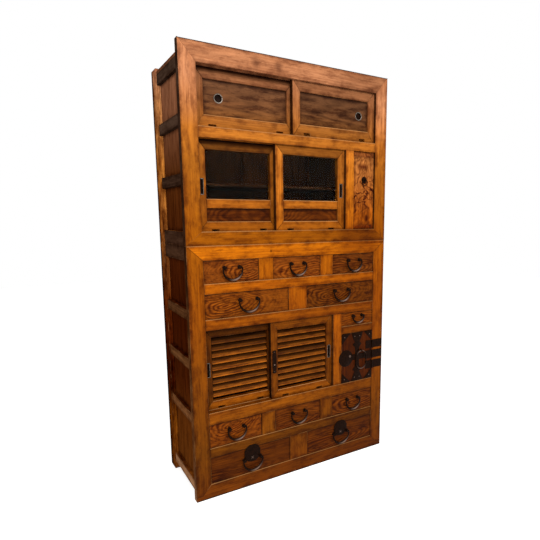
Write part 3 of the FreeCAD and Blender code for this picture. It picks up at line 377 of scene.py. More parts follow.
    # A painted highlight on the upper front edge of a level board where lip is above 0, and a painted shadow
    # of the member above where lip is below 0.
    if lip:
        below = add(tree, "Attribute", attribute_name="below")
        band = add(tree, "MapRange", {"Value": below.outputs["Fac"], "From Min": lip_depth,
                                      "From Max": 0.3 * lip_depth, "To Max": abs(lip)})
        upward = add(tree, "SeparateXYZ", {0: add(tree, "NewGeometry").outputs["True Normal"]})
        upward = add(tree, "MapRange", {"Value": upward.outputs[2], "From Min": 0.95, "From Max": 0.85})
        band = add(tree, "Math", {0: band, 1: upward}, operation="MULTIPLY")
        coloured = add(tree, "Mix", {0: band, 6: coloured.outputs[2],
                                     7: linear(worn_and_highlight if lip > 0 else "#1c0802")}, data_type="RGBA")

    sunk = add(tree, "Math", {0: drawn, 1: -1.0}, operation="MULTIPLY")
    relief = add(tree, "Bump", {"Height": sunk, "Strength": bump, "Distance": 0.001})
    gloss = add(tree, "MapRange", {"Value": cloud, "From Min": 1 - mottle, "From Max": 1 + mottle,
                                   "To Min": rough - 0.06, "To Max": rough + 0.1})
    shader = add(tree, "BsdfPrincipled", {"Base Color": coloured.outputs[2], "Roughness": gloss,
                                          "Specular IOR Level": shine, "Normal": relief})
    add(tree, "OutputMaterial", {"Surface": shader})
    return material


def opened(material):
    """A wood's node tree, its place socket, its colour's input and what that input shows now."""
    tree = material.node_tree
    place = next(item for item in tree.nodes if item.type == "TEX_COORD").outputs["Object"]
    colour = next(item for item in tree.nodes if item.type == "BSDF_PRINCIPLED").inputs["Base Color"]
    return tree, place, colour, colour.links[0].from_socket


def darkened_in_box(material, low, high, stain_and_shade, edge=0.0008):
    """Darkens a wood between two corners of a box, with soft sides, for stains and for painted shade."""
    tree, place, colour, source = opened(material)
    split = add(tree, "SeparateXYZ", {0: place})
    mask = None
    for axis in range(3):
        for bound, sign in ((low[axis], 1), (high[axis], -1)):
            if bound is None:
                continue
            side = add(tree, "MapRange", {"Value": split.outputs[axis], "From Min": bound - edge * sign,
                                          "From Max": bound + edge * sign})
            mask = side if mask is None else add(tree, "Math", {0: mask, 1: side},
                                                 operation="MULTIPLY")
    darkened = add(tree, "Mix", {0: mask, 6: source, 7: linear(stain_and_shade)}, **multiply)
    tree.links.new(darkened.outputs[2], colour)


# Cypress under worn lacquer: straight faint grain, warm orange that pales upwards, the pale pink top a
# painted sheen and the darker foot partly painted shade, painted highlights on the upper edges, and a
# few old water marks.
frame_heights = ((0, "#643006"), (1757, "#c38258"), (200, "#6d3b06"), (470, "#7e4206"), (770, "#8a4604"),
                 (1070, "#9c5504"), (1340, "#a05e16"), (1460, "#b26a22"), (1640, "#c4845a"))
front_wood = wood("lacquered_cypress", frame_heights, "#b2957c", lines=0.2, spacing=7.0, stretch=0.05,
                  worn_and_highlight="#dda060", mottle=0.18, lip=0.35)
# Painted shade: the right of the front darker below 1.4 m, more on the rails at the split and on the top
# rail's right end, and dark lines along the top edge and the foot. Then a small dark mark and two old water
# marks on the rails.
for low, high, stain_and_shade, edge in (((0.1, None, None), (None, None, 1.4), "#dcd6cc", 0.3),
                               ((0.22, None, 0.98), (0.43, None, 1.12), "#d8cec0", 0.03),
                               ((0.2, None, 1.62), (None, None, None), "#d6d2ce", 0.08),
                               ((None, None, 1.753), (None, None, None), "#4a302a", 0.0008),
                               ((None, None, None), (None, None, 0.004), "#4c342a", 0.0008),
                               ((-0.1265, None, 0.997), (-0.1217, None, 1.007), "#3c2818", 0.002),
                               ((-0.185, None, 1.7), (-0.165, None, 1.733), "#7c6460", 0.015),
                               ((-0.088, None, 1.7), (-0.068, None, 1.733), "#7c6460", 0.015)):
    darkened_in_box(front_wood, low, high, stain_and_shade, edge)
# Rear posts of softwood, brushed with stain by hand: blotches of red brown over gold.
side_heights = ((0, "#96541e"), (1757, "#e8a884"), (200, "#a45d16"), (400, "#561e04"), (650, "#6e2c0a"),
                (800, "#843e12"), (1000, "#c47a38"), (1350, "#e8963f"), (1600, "#e6a264"))
post_wood = wood("stained_post", side_heights, "#a08468", lines=0.3, spacing=6.0, stretch=0.05, streak=0.4,
                 wear=0.4, worn_and_highlight="#c58c58", mottle=0.3, edge_darkness=0.9, shine=0.0)
darkened_in_box(post_wood, (None, 0.176, None), (None, None, None), "#70605a", edge=0.003)
# Rails of the sides: sawn softwood gone grey brown and matt, a little worn at the arrises. They are lighter
# low down, a painted light for the lower rails whose tops face the light.
rail_wood = wood("stained_rail", ((0, "#b08460"), (1757, "#503d31"), (200, "#8a5a34"), (700, "#6a4426"),
                                  (1050, "#483022")),
                 "#a08c7c", lines=0.25, wear=0.5, worn_and_highlight="#8c6240", shine=0.0)
# Unfinished wood inside, which reads as near black in every gap. On the faces that look left in the
# openings and on the doors' left edges it is painted shade.
inner_and_shade_wood = wood("dark_inner_wood", ((0, "#4a2a12"), (1757, "#4a2a12")), "#a08c7c", lines=0.3, wear=0.2,
                  worn_and_highlight="#6a4628", rough=0.62, shine=0.02)
# Each board's material: 0 the front's, 1 the posts', 2 the side rails', 3 the one inside, which also
# paints shade on the openings' left-facing sides.
frame_finishes = [front_wood, post_wood, rail_wood, inner_and_shade_wood]
upper_marks = dict(enumerate([0] * 6 + [3] * 4 + [1] * 2 + [2] * 8))
lower_marks = dict(enumerate([0] * 16 + [3] * 2 + [1] * 2 + [2] * 10))
upper_tones = dict(enumerate((1.05, 1.25, 0.85, 1.12, 0.98, 1.85)))
lower_tones = dict(enumerate((1.0, 1.55, 1.7, 1.25, 1.22, 1.5, 1.85, 0.95, 1.6, 1.0, 1.4, 1.45, 1.45,
                              1.3, 1.3, 1.35)))
upper_frame = boards("upper_front_frame", "upper_case_frame", frame_finishes, upper_marks, tones=upper_tones)
lower_frame = boards("lower_front_frame", "lower_case_frame", frame_finishes, lower_marks, tones=lower_tones)
# The frames' outer faces at the sides are stained as the rails are. The lower side rails' tops take the
# posts' wood, a painted light on faces that look up, and the faces that look left inside an opening
# take the dark inside wood, a painted shade.
for part in (upper_frame, lower_frame):
    for face in part.data.polygons:
        if abs(face.normal.x) > 0.7 and abs(face.center.x) > 0.472 and face.center.y < -0.15:
            face.material_index = 2
        elif (face.material_index == 2 and face.normal.z > 0.7 and face.center.z < 1.14
              and abs(face.center.x) > 0.44):
            face.material_index = 1
        elif face.normal.x < -0.7 and abs(face.center.x) < 0.46 and face.center.y < -0.12:
            face.material_index = 3

# ---------------------------------------------------------------- Sides, backs, tops and floors
# Thin cedar boards between the rails of the sides, upright at the back, and floors and
# partitions inside. They are stained brown and left matt, with the grain raised by age.
# Brushed cedar: dark raised grain in straight upright lines, without any shine.
side_board = wood("weathered_cedar", ((0, "#6e3c14"), (1757, "#98664a"), (250, "#6c3810"), (450, "#4d2007"),
                                      (700, "#421703"), (1000, "#491e07"), (1300, "#5a2e10"),
                                      (1550, "#8a583c")),
                  "#9c8468", lines=0.35, spacing=9.0, stretch=0.02, rough=0.62, shine=0.0, bump=0.25)
boards("upper_side_boards", "upper_case_boards", [side_board], run=2)
boards("lower_side_boards", "lower_case_boards", [side_board], run=2)
boards("upper_floors", "upper_case_floors", [inner_and_shade_wood])
boards("lower_floors", "lower_case_floors", [inner_and_shade_wood])

# ---------------------------------------------------------------- Sliding doors
# Mitred frames of the same cypress, each pair in two grooves, the right door in front. They hold a
# dark zelkova panel, a glass pane over a low red panel, or nine slats let into the stiles, which
# slope so that air passes and the eye doesn't.
# Frames: the same wood and lacquer as the front, smoother, with its colour by height painting the light
# as the front's does and painted highlights on the upper edges. The rear doors' upper rails lie in the
# shadow of the case, painted on as a dark band and low tones.
door_heights = ((0, "#8a4a08"), (1757, "#a06a44"), (360, "#a0560c"), (700, "#a5580c"), (1090, "#96520c"),
                (1430, "#a86420"), (1480, "#b06a24"), (1650, "#a86c44"))
door_look = {"lines": 0.2, "worn_and_highlight": "#e0a060", "mottle": 0.15}
door_wood = wood("lacquered_door_frame", door_heights, "#b29a84", lip=0.45, **door_look)
rear_door_wood = wood("shadowed_door_frame", door_heights, "#b29a84", lip=0.35, **door_look)
# Painted shadow: a dark band on the rear doors just below each of the case's rails.
for top in (1.684, 1.428, 0.702):
    darkened_in_box(rear_door_wood, (None, None, top - 0.013), (None, None, top + 0.03), "#4c3830", edge=0.009)
# Upper panels: a zelkova board stained near black, its broad figure just showing, with painted shadow along
# its top under the rail.
panel_wood = wood("dark_zelkova_panel", ((0, "#7a4c2c"), (1757, "#6c4a34"), (1500, "#8a5424"),
                                         (1560, "#744828")),
                  "#907c74", lines=0.4, spacing=12.0, stretch=0.08, wander=0.06, streak=0.16, arched=True,
                  mottle=0.3, lip=-0.6, lip_depth=0.012)
# Low panels: zelkova with dark arched rings under a red stain, with painted shadow along the top under the
# rail.
low_panel = wood("red_zelkova_panel", ((0, "#6a3206"), (1757, "#6a3206")), "#a08468", lines=0.5, spacing=12.0,
                 stretch=0.35, wander=0.07, arched=True, mottle=0.25, lip=-0.75, lip_depth=0.014)
# Slats: planed strips, with a painted highlight on the nose and painted shade where each one runs back behind
# the next.
slat_wood = wood("louvre_slat", ((0, "#b06218"), (1757, "#b06218")), "#b49c80", lines=0.2, streak=0.2,
                 wear=0.0, edge_darkness=0.2, recess_shade=0.14, mottle=0.25)
# Tones of each door's frame boards, left door then right. The darkest, on the rear doors' top rails and the
# rear louvre door's stiles, paint their shade.
frame_tones = {"panel": ((0.85, 0.8, 0.75, 0.95, 0.78), (0.95, 0.9, 0.7, 0.75, 0.58)),
               "glass": ((1.15, 0.9, 0.42, 1.2, 1.35, 0.75), (1.45, 1.0, 0.7, 1.2, 1.35, 0.75)),
               "louvre": ((0.36, 0.34, 0.25, 0.95), (0.52, 0.46, 0.5, 0.85))}
for number, side in enumerate(("left", "right")):
    for kind, inset, marks, only in (("panel", [panel_wood], {4: 1}, None),
                                     ("glass", [low_panel], {5: 1}, None), ("louvre", [], {}, range(4))):
        door = boards(f"{kind}_door_{side}_wood", f"{kind}_door_{side}",
                      [(rear_door_wood, door_wood)[number], *inset, inner_and_shade_wood], marks, only,
                      tones=dict(enumerate(frame_tones[kind][number])))
        # Each door's left-facing edge takes the dark inside wood: painted shade in the gap beside it.
        outer = min(vertex.co.x for vertex in door.data.vertices) + 0.001
        for face in door.data.polygons:
            if face.normal.x < -0.7 and face.center.x < outer:
                face.material_index = len(inset) + 1
    chance = random.Random(side)
    slat_tones = {slat: (0.78, 0.66)[number] * chance.uniform(0.88, 1.12) for slat in range(4, 13)}
    slat_tones.update(({6: 0.5, 11: 0.4, 12: 0.3}, {9: 0.3})[number])
    boards(f"louvre_door_{side}_slats", f"louvre_door_{side}", [slat_wood], only=range(4, 13), ease=0.003,
           tones=slat_tones)

# ---------------------------------------------------------------- Glass
# One pane of old drawn window glass in each glass door, held in grooves of its frame. It is clear
# and faintly green, with a slow ripple that bends what it mirrors.
glass, tree = blank("old_window_glass")
place = add(tree, "TexCoord").outputs["Object"]
ripple = add(tree, "TexNoise", {"Vector": place, "Scale": 7.0, "Detail": 0.0})
ripple = add(tree, "Bump", {"Height": ripple, "Strength": 0.04, "Distance": 0.002})
shader = add(tree, "BsdfPrincipled", {"Base Color": linear("#eef4f0"), "Roughness": 0.02, "IOR": 1.12,
                                      "Transmission Weight": 1.0, "Normal": ripple})
add(tree, "OutputMaterial", {"Surface": shader})
for side in ("left", "right"):
    pane = frame["nodes"][f"glass_door_{side}_glass"]
    pane.data.materials.clear()
    pane.data.materials.append(glass)

# ---------------------------------------------------------------- Metals of the fittings
# All fittings are cut or forged from iron and burnt black with oil; the rims of the sunk pulls are
# of a pale bronze. What hands touch has lost its black, and the same grey brown paints highlights on
# the bails, the long ring and the door's lock knob.
#
# Oil-black iron: near black, satin, pitted, and grey brown where it is rubbed and where highlights are
# painted.
iron, tree = blank("blackened_iron")
place = add(tree, "TexCoord").outputs["Object"]
bloom = add(tree, "TexNoise", {"Vector": place, "Scale": 120.0, "Detail": 4.0, "Roughness": 0.6})
tint = add(tree, "ValToRGB", {"Fac": bloom}, stops=((0.3, "#0a0502"), (0.75, "#24120a")))
# The lightened iron: rubbed wear, and painted highlights.
rubbed = add(tree, "Attribute", attribute_name="rubbed")
tint = add(tree, "Mix", {0: rubbed.outputs["Fac"], 6: tint, 7: linear("#94786a")}, data_type="RGBA")
pits = add(tree, "TexNoise", {"Vector": place, "Scale": 420.0, "Detail": 3.0})
pits = add(tree, "Bump", {"Height": pits, "Strength": 0.25, "Distance": 0.0006})
shader = add(tree, "BsdfPrincipled", {"Base Color": tint.outputs[2], "Roughness": 0.3,
                                      "Specular IOR Level": 0.02, "Normal": pits})
add(tree, "OutputMaterial", {"Surface": shader})
for name, node in frame["nodes"].items():
    if name.endswith(("_fittings", "_bosses", "_bail", "_ring", "_binding", "_hinges")):
        node.data.materials.clear()
        node.data.materials.append(iron)

# Cast white bronze, dull grey with brighter rubbed spots.
worn_metal, tree = blank("rubbed_white_bronze")
place = add(tree, "TexCoord").outputs["Object"]
bloom = add(tree, "TexNoise", {"Vector": place, "Scale": 260.0, "Detail": 4.0, "Roughness": 0.6})
tint = add(tree, "ValToRGB", {"Fac": bloom}, stops=((0.35, "#3c342c"), (0.65, "#82766a")))
pits = add(tree, "Bump", {"Height": bloom, "Strength": 0.2, "Distance": 0.0004})
shader = add(tree, "BsdfPrincipled", {"Base Color": tint, "Metallic": 0.75, "Roughness": 0.38,
                                      "Normal": pits})
add(tree, "OutputMaterial", {"Surface": shader})

# ---------------------------------------------------------------- Pulls and rollers of the sliding doors
# A round pull is a turned cup with a pale bronze rim. A long pull is a folded dish let into the
# stile, its rim of the same bronze. Small iron wheels turn in the slots under each door.


def finished(piece, degrees, finishes):
    """Smooths a selected piece up to an angle between its faces, and gives it its materials."""
    bpy.ops.object.shade_smooth_by_angle(angle=math.radians(degrees))
    piece.select_set(False)
    for material in finishes:
        piece.data.materials.append(material)
    return piece


def outward():
    """Turns the faces in edit mode outward."""
    bpy.ops.mesh.normals_make_consistent(inside=False)


def turned(name, profile, centre, finishes=(iron,), steps=32):
    """Spins a profile of pairs, radius and height out of the front in mm, about a line along Y. What
    lies behind the front takes the second material, if there is one."""
    mesh = bpy.data.meshes.new(name)
    mesh.from_pydata([(radius / 1000, -height / 1000, 0) for radius, height in profile],
                     [(i, i + 1) for i in range(len(profile) - 1)], [])
    piece = placed(name, mesh)
    edited(piece, lambda: bpy.ops.mesh.spin(steps=steps, angle=math.tau, center=(0, 0, 0), axis=(0, 1, 0)),
           lambda: bpy.ops.mesh.remove_doubles(threshold=0.00003), outward)
    finished(piece, 40, finishes)
    for face in mesh.polygons:
        face.material_index = int(len(finishes) > 1 and face.center.y > 0)
    mesh.transform(Matrix.Translation(centre))
    return piece


def flat(name, outline, y):
    """One face at y, with an outline in x and z."""
    bpy.ops.mesh.primitive_circle_add(vertices=len(outline), fill_type="NGON", radius=0.01)
    piece = bpy.context.object
    piece.name = piece.data.name = name
    for vertex, (x, z) in zip(piece.data.vertices, outline):
        vertex.co = (x, y, z)
    return piece


def plate(name, outline, front, thick, ease=0.0005):
    """A flat iron plate, its face at y = front, with eased edges."""
    piece = flat(name, outline, front + thick)
    edited(piece, lambda: bpy.ops.mesh.extrude_region_move(TRANSFORM_OT_translate={"value": (0, -thick, 0)}),
           outward)
    eased(piece, ease)
    return finished(piece, 35, [iron])


def rubbed_and_highlight_where(piece, amount):
    """Marks how far the iron is lightened, from 0 to 1, by a function of place: black rubbed off, and painted
    highlights.
    """
    marks = [min(1.0, max(0.0, amount(vertex.co))) for vertex in piece.data.vertices]
    layer = piece.data.attributes.get("rubbed") or piece.data.attributes.new("rubbed", "FLOAT", "POINT")
    layer.data.foreach_set("value", marks)
    return piece


def stud(name, x, front, z, radius, rub=0.3):
    """A domed nail head on a face at y = front."""
    turns = [math.radians(angle) for angle in range(0, 91, 15)]
    dome = [(radius * math.cos(turn), 0.5 * radius * math.sin(turn)) for turn in turns]
    nail = turned(name, [(0, -0.3), (radius, -0.3)] + dome, (x, front, z), steps=16)
    return rubbed_and_highlight_where(nail, lambda place: rub)


def joined(name, pieces):
    """Joins pieces into the first of them."""
    for item in pieces:
        item.select_set(True)
    bpy.context.view_layer.objects.active = pieces[0]
    if len(pieces) > 1:
        bpy.ops.object.join()
    pieces[0].select_set(False)
    pieces[0].name = pieces[0].data.name = name
    return pieces[0]


def middle(low, high, y):
    """The middle of a box in x and z, at a given y."""
    return (low.x + high.x) / 2, y, (low.z + high.z) / 2


def mirrored(x, z, quarter):
    """An outline round a middle from its upper right quarter, a list of widths and heights."""
    return ([(x + w, z - h) for w, h in reversed(quarter)] + [(x + w, z + h) for w, h in quarter[1:]]
            + [(x - w, z + h) for w, h in reversed(quarter)] + [(x - w, z - h) for w, h in quarter[1:]])


pull_profile = [(0, -9), (17.6, -9), (17.8, -0.3), (18, 0.3), (17.3, 1.0), (15.4, 1.0), (14.4, 0.4),
                (13.9, -0.8), (13.3, -7.0), (0, -7.7)]
wheel_profile = [(0, -0.3), (1.5, -0.3), (1.7, -0.9), (3.3, -0.9), (3.6, 0), (4.2, 0), (4.5, -0.5),
                 (4.5, -6.5), (4.2, -7), (1.5, -7), (1.5, -10.4), (0, -10.4)]


def dish(name, low, high):
    """A sunk tray with rounded corners, its bright rim flush with the wood."""
    corner, rim, bottom, depth = 0.003, 0.0022, 0.0015, high.y - low.y
    outline = []
    for x, z, start in ((high.x - corner, high.z - corner, 0), (low.x + corner, high.z - corner, 90),
                        (low.x + corner, low.z + corner, 180), (high.x - corner, low.z + corner, 270)):
        for angle in [math.radians(start + turn) for turn in range(0, 91, 18)]:
            outline.append((x + corner * math.cos(angle), z + corner * math.sin(angle)))

    def sink():
        """Insets and lowers the face, and closes the tray behind."""
        bpy.ops.mesh.select_mode(type="EDGE")
        bpy.ops.mesh.inset(thickness=rim)
        bpy.ops.mesh.extrude_region_move(TRANSFORM_OT_translate={"value": (0, depth - bottom, 0)})
        bpy.ops.mesh.select_all(action="DESELECT")
        bpy.ops.mesh.select_non_manifold()
        bpy.ops.mesh.extrude_region_move(TRANSFORM_OT_translate={"value": (0, depth, 0)})
        bpy.ops.mesh.edge_face_add()

    piece = flat(name, outline, low.y)
    edited(piece, sink, outward)
    eased(piece, 0.0006)
    finished(piece, 40, [worn_metal, iron])
    for face in piece.data.polygons:
        face.material_index = int(face.center.y > low.y + bottom)
    return piece


def strip_quarter(half, reach):
    """A quarter of the lock strip's outline: straight, a notch, then a round lobe."""
    lobe, start, end, notch = reach - half, 0.006, 0.001, 0.0035
    quarter = []
    for rise in [reach * part / 30 for part in range(31)]:
        wide = half
        if rise >= lobe - end:
            wide = math.sqrt(max(half ** 2 - (rise - lobe) ** 2, 0))
        elif rise >= lobe - start:
            wide = half - notch * math.sin(math.pi * (rise - lobe + start) / (start - end)) ** 0.5
        if wide > 0.0005:
            quarter.append((wide, rise))
    return quarter


for kind, side in itertools.product(("panel", "glass", "louvre"), ("left", "right")):
    name = f"{kind}_door_{side}_fittings"
    cut = solid_boxes(name)
    parts = [turned(f"{kind}_{side}_wheel_{number}", wheel_profile, middle(low, high, low.y), steps=20)
             for number, (low, high) in enumerate(cut[:2])]
    low, high = cut[2]
    if kind == "panel":
        parts.append(turned(f"{side}_round_pull", pull_profile, middle(low, high, low.y + 0.001),
                            [worn_metal, iron], steps=40))
    else:
        parts.append(dish(f"{kind}_{side}_long_pull", low, high))
    if len(cut) > 3:
        low, high = cut[3]
        x, face, z = middle(low, high, low.y)
        outline = mirrored(x, z, strip_quarter((high.x - low.x) / 2, (high.z - low.z) / 2))
        parts.append(plate("louvre_lock_strip", outline, face, high.y - low.y))
        parts.append(stud("louvre_lock_knob", x, face, z - 0.013, 3.4, 0.5))
        parts += [stud(f"louvre_lock_nail_{sign}", x, face, z + sign * 0.043, 2.2, 0.2)
                  for sign in (-1, 1)]
    fitted(joined(f"{kind}_door_{side}_metal", parts), name)

# ---------------------------------------------------------------- Plank door
# One board of burr zelkova between two cleats whose faces slope back. It turns on iron pivots at
# its right edge, and a small ring on a round plate pulls it open.


def bar(name, points, radii, closed=False):
    """A round iron bar along points, with its radius at each of them."""
    curve = bpy.data.curves.new(name, "CURVE")
    curve.dimensions = "3D"
    curve.bevel_depth = 1
    curve.bevel_resolution = 4
    curve.use_fill_caps = True
    line = curve.splines.new("POLY")
    line.points.add(len(points) - 1)
    for spot, place, radius in zip(line.points, points, radii):
        spot.co = (*place, 1)
        spot.radius = radius
    line.use_cyclic_u = closed
    piece = placed(name, curve)
    bpy.context.view_layer.objects.active = piece
    piece.select_set(True)
    bpy.ops.object.convert(target="MESH")
    return finished(bpy.context.object, 50, [iron])


def ring_sizes(node_name):
    """A ring's lowest and highest corner, its middle y, and the radius of its wire and of its bend."""
    low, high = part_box(node_name)
    wire = (high.y - low.y) / 2
    return low, high, (low.y + high.y) / 2, wire, (high.x - low.x) / 2 - wire


# Burr zelkova, oiled: gold ground with dark curls round its knots, and a few brown patches.
plank_wood = wood("burr_plank", ((0, "#98540e"), (1757, "#b07430"), (1150, "#9c4e08"), (1400, "#b06e34")),
                  "#947454", lines=0.35, spacing=16.0, stretch=0.5, wander=0.2, arched=True, mottle=0.28,
                  worn_and_highlight="#c88c50")
tree, place, colour, source = opened(plank_wood)
curls = add(tree, "TexNoise", {"Vector": place, "Scale": 17.0, "Detail": 3.0, "Distortion": 0.7})
curls = add(tree, "ValToRGB", {"Fac": curls},
            stops=((0.465, 0.0), (0.53, 0.0), (0.488, 1.0), (0.505, 1.0)))
height = add(tree, "SeparateXYZ", {0: place})
lower = add(tree, "MapRange", {"Value": height.outputs[2], "From Min": 1.14, "From Max": 1.2})
upper = add(tree, "MapRange", {"Value": height.outputs[2], "From Min": 1.34, "From Max": 1.3})
knots = add(tree, "Math", {0: lower, 1: upper}, operation="MULTIPLY")
knots = add(tree, "Math", {0: knots, 1: curls}, operation="MULTIPLY")
burr = add(tree, "Mix", {0: knots, 6: source, 7: linear("#6c3c22")}, **multiply)
tree.links.new(burr.outputs[2], colour)
for low, high, stain_and_shade in (((0.318, None, 1.352), (0.368, None, 1.372), "#a08478"),
                         ((0.358, None, 1.118), (0.378, None, 1.148), "#7c5c40"),
                         ((None, None, 1.405), (None, None, None), "#dcc8bc"),
                         ((None, None, None), (None, None, 1.101), "#c4a88c")):
    darkened_in_box(plank_wood, low, high, stain_and_shade, edge=0.008 if low[0] else 0.002)
boards("plank_door_wood", "plank_door", [plank_wood], heart=(0.02, 0.01, 0.02, 1), run=2, ease=0.0016)
plate_back, eye_radius, eye_wire = -0.17825, 0.0036, 0.0012
plate_profile = [(0, -0.5), (14.3, -0.5), (14.5, 0.5), (13.7, 1.4), (8.5, 1.7), (7.8, 2), (0, 2)]
low, high, ring_y, wire, radius = ring_sizes("plank_door_ring")
ring_x, ring_y, ring_z = middle(low, high, ring_y)
plate_z = ring_z + radius - 0.003
parts = [turned("plank_ring_plate", plate_profile, (ring_x, plate_back, plate_z))]
loop = [(ring_x, plate_back - 2 * eye_radius + eye_radius * math.cos(a), plate_z + eye_radius * math.sin(a))
        for a in [math.tau * k / 16 for k in range(16)]]
parts.append(bar("plank_ring_eye", loop, [eye_wire] * 16, closed=True))
for number in range(1, len(solid_boxes("plank_door_fittings"))):
    parts.append(boards(f"plank_pivot_{number}", "plank_door_fittings", [iron], only=[number], ease=0.0006))
fitted(joined("plank_door_metal", parts), "plank_door_fittings")
loop = [(ring_x + radius * math.sin(a), ring_y, ring_z + radius * math.cos(a))
        for a in [math.tau * k / 40 for k in range(40)]]
fitted(bar("plank_ring", loop, [wire] * 40, closed=True), "plank_door_ring")

# ---------------------------------------------------------------- Iron-bound door
# A plain board held by plates of blackened sheet iron: a strap that flares to cusped ends, four
# corner plates, a round lock plate, a band to the middle hinge, and nails with domed heads.
# A board stained deep red brown, so that the iron on it hardly stands out.
bound_wood = wood("iron_door_board", ((0, "#4b1e02"), (1757, "#4b1e02")), "#9c7c58", lines=0.4)
boards("iron_door_wood", "iron_door", [bound_wood], run=2)
cut = solid_boxes("iron_door_binding")
door_low, door_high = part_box("iron_door")
strap_x, face, middle_z = middle(door_low, door_high, door_low.y)
reach = (door_high.z - door_low.z) / 2
strap_thick, band_thick, corner_thick, band_half = 0.0017, 0.0014, 0.002, 0.014
flare = [(12.5, 0), (12.5, 40), (15.5, 50), (26, 61.5), (14.5, 71), (18, 80), (24.5, 92),
         (32.3, reach * 1000 - 0.2)]
outline = mirrored(strap_x, middle_z, [(w / 1000, h / 1000) for w, h in flare])
parts = [plate("iron_door_strap", outline, face - strap_thick, strap_thick)]
lock_x = cut[0][0].x + 0.0385
parts.append(turned("iron_door_lock_plate", [(0, -0.2), (39.5, -0.2), (39.5, 1.2), (38.5, 2.0), (0, 2.0)],
                    (lock_x, face, middle_z), steps=48))
knob = middle(*cut[1], face)
parts.append(turned("iron_door_lock_knob", [(0, 1.5), (8, 1.5), (7.6, 3.2), (6.2, 4.6), (4.0, 5.6), (0, 6.0)],
                    knob, steps=24))
# The lock knob's lightened tip is a painted highlight.
parts.append(stud("iron_door_knob_tip", knob[0], face - 0.0046, knob[2] + 0.0005, 6.4, 0.28))
band_end = cut[7][0].x + 0.002
outline = [(lock_x, middle_z - band_half), (band_end, middle_z - band_half),
           (band_end, middle_z + band_half), (lock_x, middle_z + band_half)]
parts.append(plate("iron_door_band", outline, face - band_thick, band_thick))
for number, (low, high) in enumerate(cut[2:6]):
    x, across = (high.x, -1) if number % 2 else (low.x, 1)
    z, up = (high.z, -1) if number // 2 else (low.z, 1)
    leg = (high.x - low.x) * 1000
    curve = [[(1 - s) ** 2 * a + 2 * s * (1 - s) * (leg / 2 + 1.5) + s ** 2 * b
              for a, b in ((leg, 4), (4, leg))] for s in [step / 8 for step in range(9)]]
    outline = [(x + across * a / 1000, z + up * b / 1000) for a, b in [(0, 0), (leg, 0)] + curve + [(0, leg)]]
    parts.append(plate(f"iron_door_corner_{number}", outline, face - corner_thick, corner_thick))
    parts.append(stud(f"iron_door_corner_nail_{number}", x + across * 0.0155, face - corner_thick,
                      z + up * 0.0165, 2.8))
for number, (across, up) in enumerate(((-1, -1), (1, -1), (-1, 1), (1, 1))):
    parts.append(stud(f"iron_door_strap_nail_{number}", strap_x + across * 0.014, face - strap_thick,
                      middle_z + up * 0.1, 2.6))
for number in (6, 7, 8, 9):
    parts.append(boards(f"iron_door_hinge_{number}", "iron_door_binding", [iron], only=[number], ease=0.0005))
fitted(joined("iron_door_metal", parts), "iron_door_binding")
boards("iron_door_case_straps", "iron_door_case_hinges", [iron], ease=0.0005)
low, high, ring_y, wire, radius = ring_sizes("iron_door_ring")
ring_x = (low.x + high.x) / 2
upper_z, lower_z = high.z - wire - radius, low.z + wire + radius
loop = [(ring_x + radius * math.cos(math.radians(a)), ring_y,
         (upper_z if a < 180 else lower_z) + radius * math.sin(math.radians(a))) for a in range(0, 360, 9)]
ring = bar("iron_door_long_ring", loop, [wire] * len(loop), closed=True)
# Painted highlights lighten the ring's front at its top and bottom.
fitted(rubbed_and_highlight_where(ring, lambda place: 0.6 * (ring_y - place.y) / wire * (
    abs(place.z - (upper_z + lower_z) / 2) / ((high.z - low.z) / 2)) ** 5), "iron_door_ring")

# ---------------------------------------------------------------- Drawers
# Eleven drawers: a thick front of zelkova chosen for its figure, nailed to plain sides, a back and
# a bottom. The fronts lie 2 mm behind the rails.
#
# Zelkova under lacquer: bold dark rings, a different cut of the same log on each front, and painted shadow
# along each front's top under the rail.
front_zelkova = wood("bold_zelkova", ((0, "#673006"), (1757, "#984e0e"), (170, "#703606"), (330, "#7c3e0a"),
                                      (650, "#7c3e06"), (800, "#8c480a"), (975, "#984e12")), "#a08468",
                     lines=0.9, spacing=9.0, stretch=0.22, wander=0.06, streak=0.35, arched=True, reach=0.075,
                     worn_and_highlight="#b87834", mottle=0.3, edge_darkness=0.4, lip=-0.5, lip_depth=0.006)
# Each front's tone, and where in the log it was cut: place of the heart and scale of the figure.
fronts = {"a1": (0.7, -0.07, 0.01, 0.008, 2.4), "a2": (0.75, -0.06, 0.03, 0.01, 1.6),
          "a3": (0.44, 0.1, 0.03, 0.02, 1.2), "b1": (0.76, 0.09, 0.0, 0.004, 1.8),
          "b2": (0.47, 0.06, 0.0, 0.01, 1.9), "c1": (1.0, 0.02, -0.03, 0.01, 2.2),
          "c2": (0.72, 0.1, 0.03, 0.01, 1.0), "c3": (0.7, -0.04, 0.0, 0.005, 1.2),
          "d1": (0.64, 0.3, 0.06, 0.03, 0.7), "d2": (0.64, 0.1, 0.03, 0.02, 1.0),
          "small": (0.98, 0.05, 0.03, 0.01, 1.0)}
for drawer, (tone, *heart) in fronts.items():
    boards(f"drawer_{drawer}_front", f"drawer_{drawer}", [front_zelkova], only=[0], heart=heart,
           tones={0: tone})
    boards(f"drawer_{drawer}_box", f"drawer_{drawer}", [inner_and_shade_wood], only=range(1, 5))

# ---------------------------------------------------------------- Handles of the drawers
# Forged iron bails, thick at the bottom and drawn thin to their arms, hang in ball-headed
# bosses with a seat plate. The boss is driven through the front and clenched inside.
boss_profile = ([(0, 0), (8, 0), (8, 0.9), (7.4, 1.6), (5.4, 2.1), (3.4, 2.5), (2.9, 4.2), (3.3, 6.2)]
                + [(7 * math.cos(a), 12 + 5.5 * math.sin(a))
                   for a in [math.radians(d) for d in range(-60, 91, 15)]])
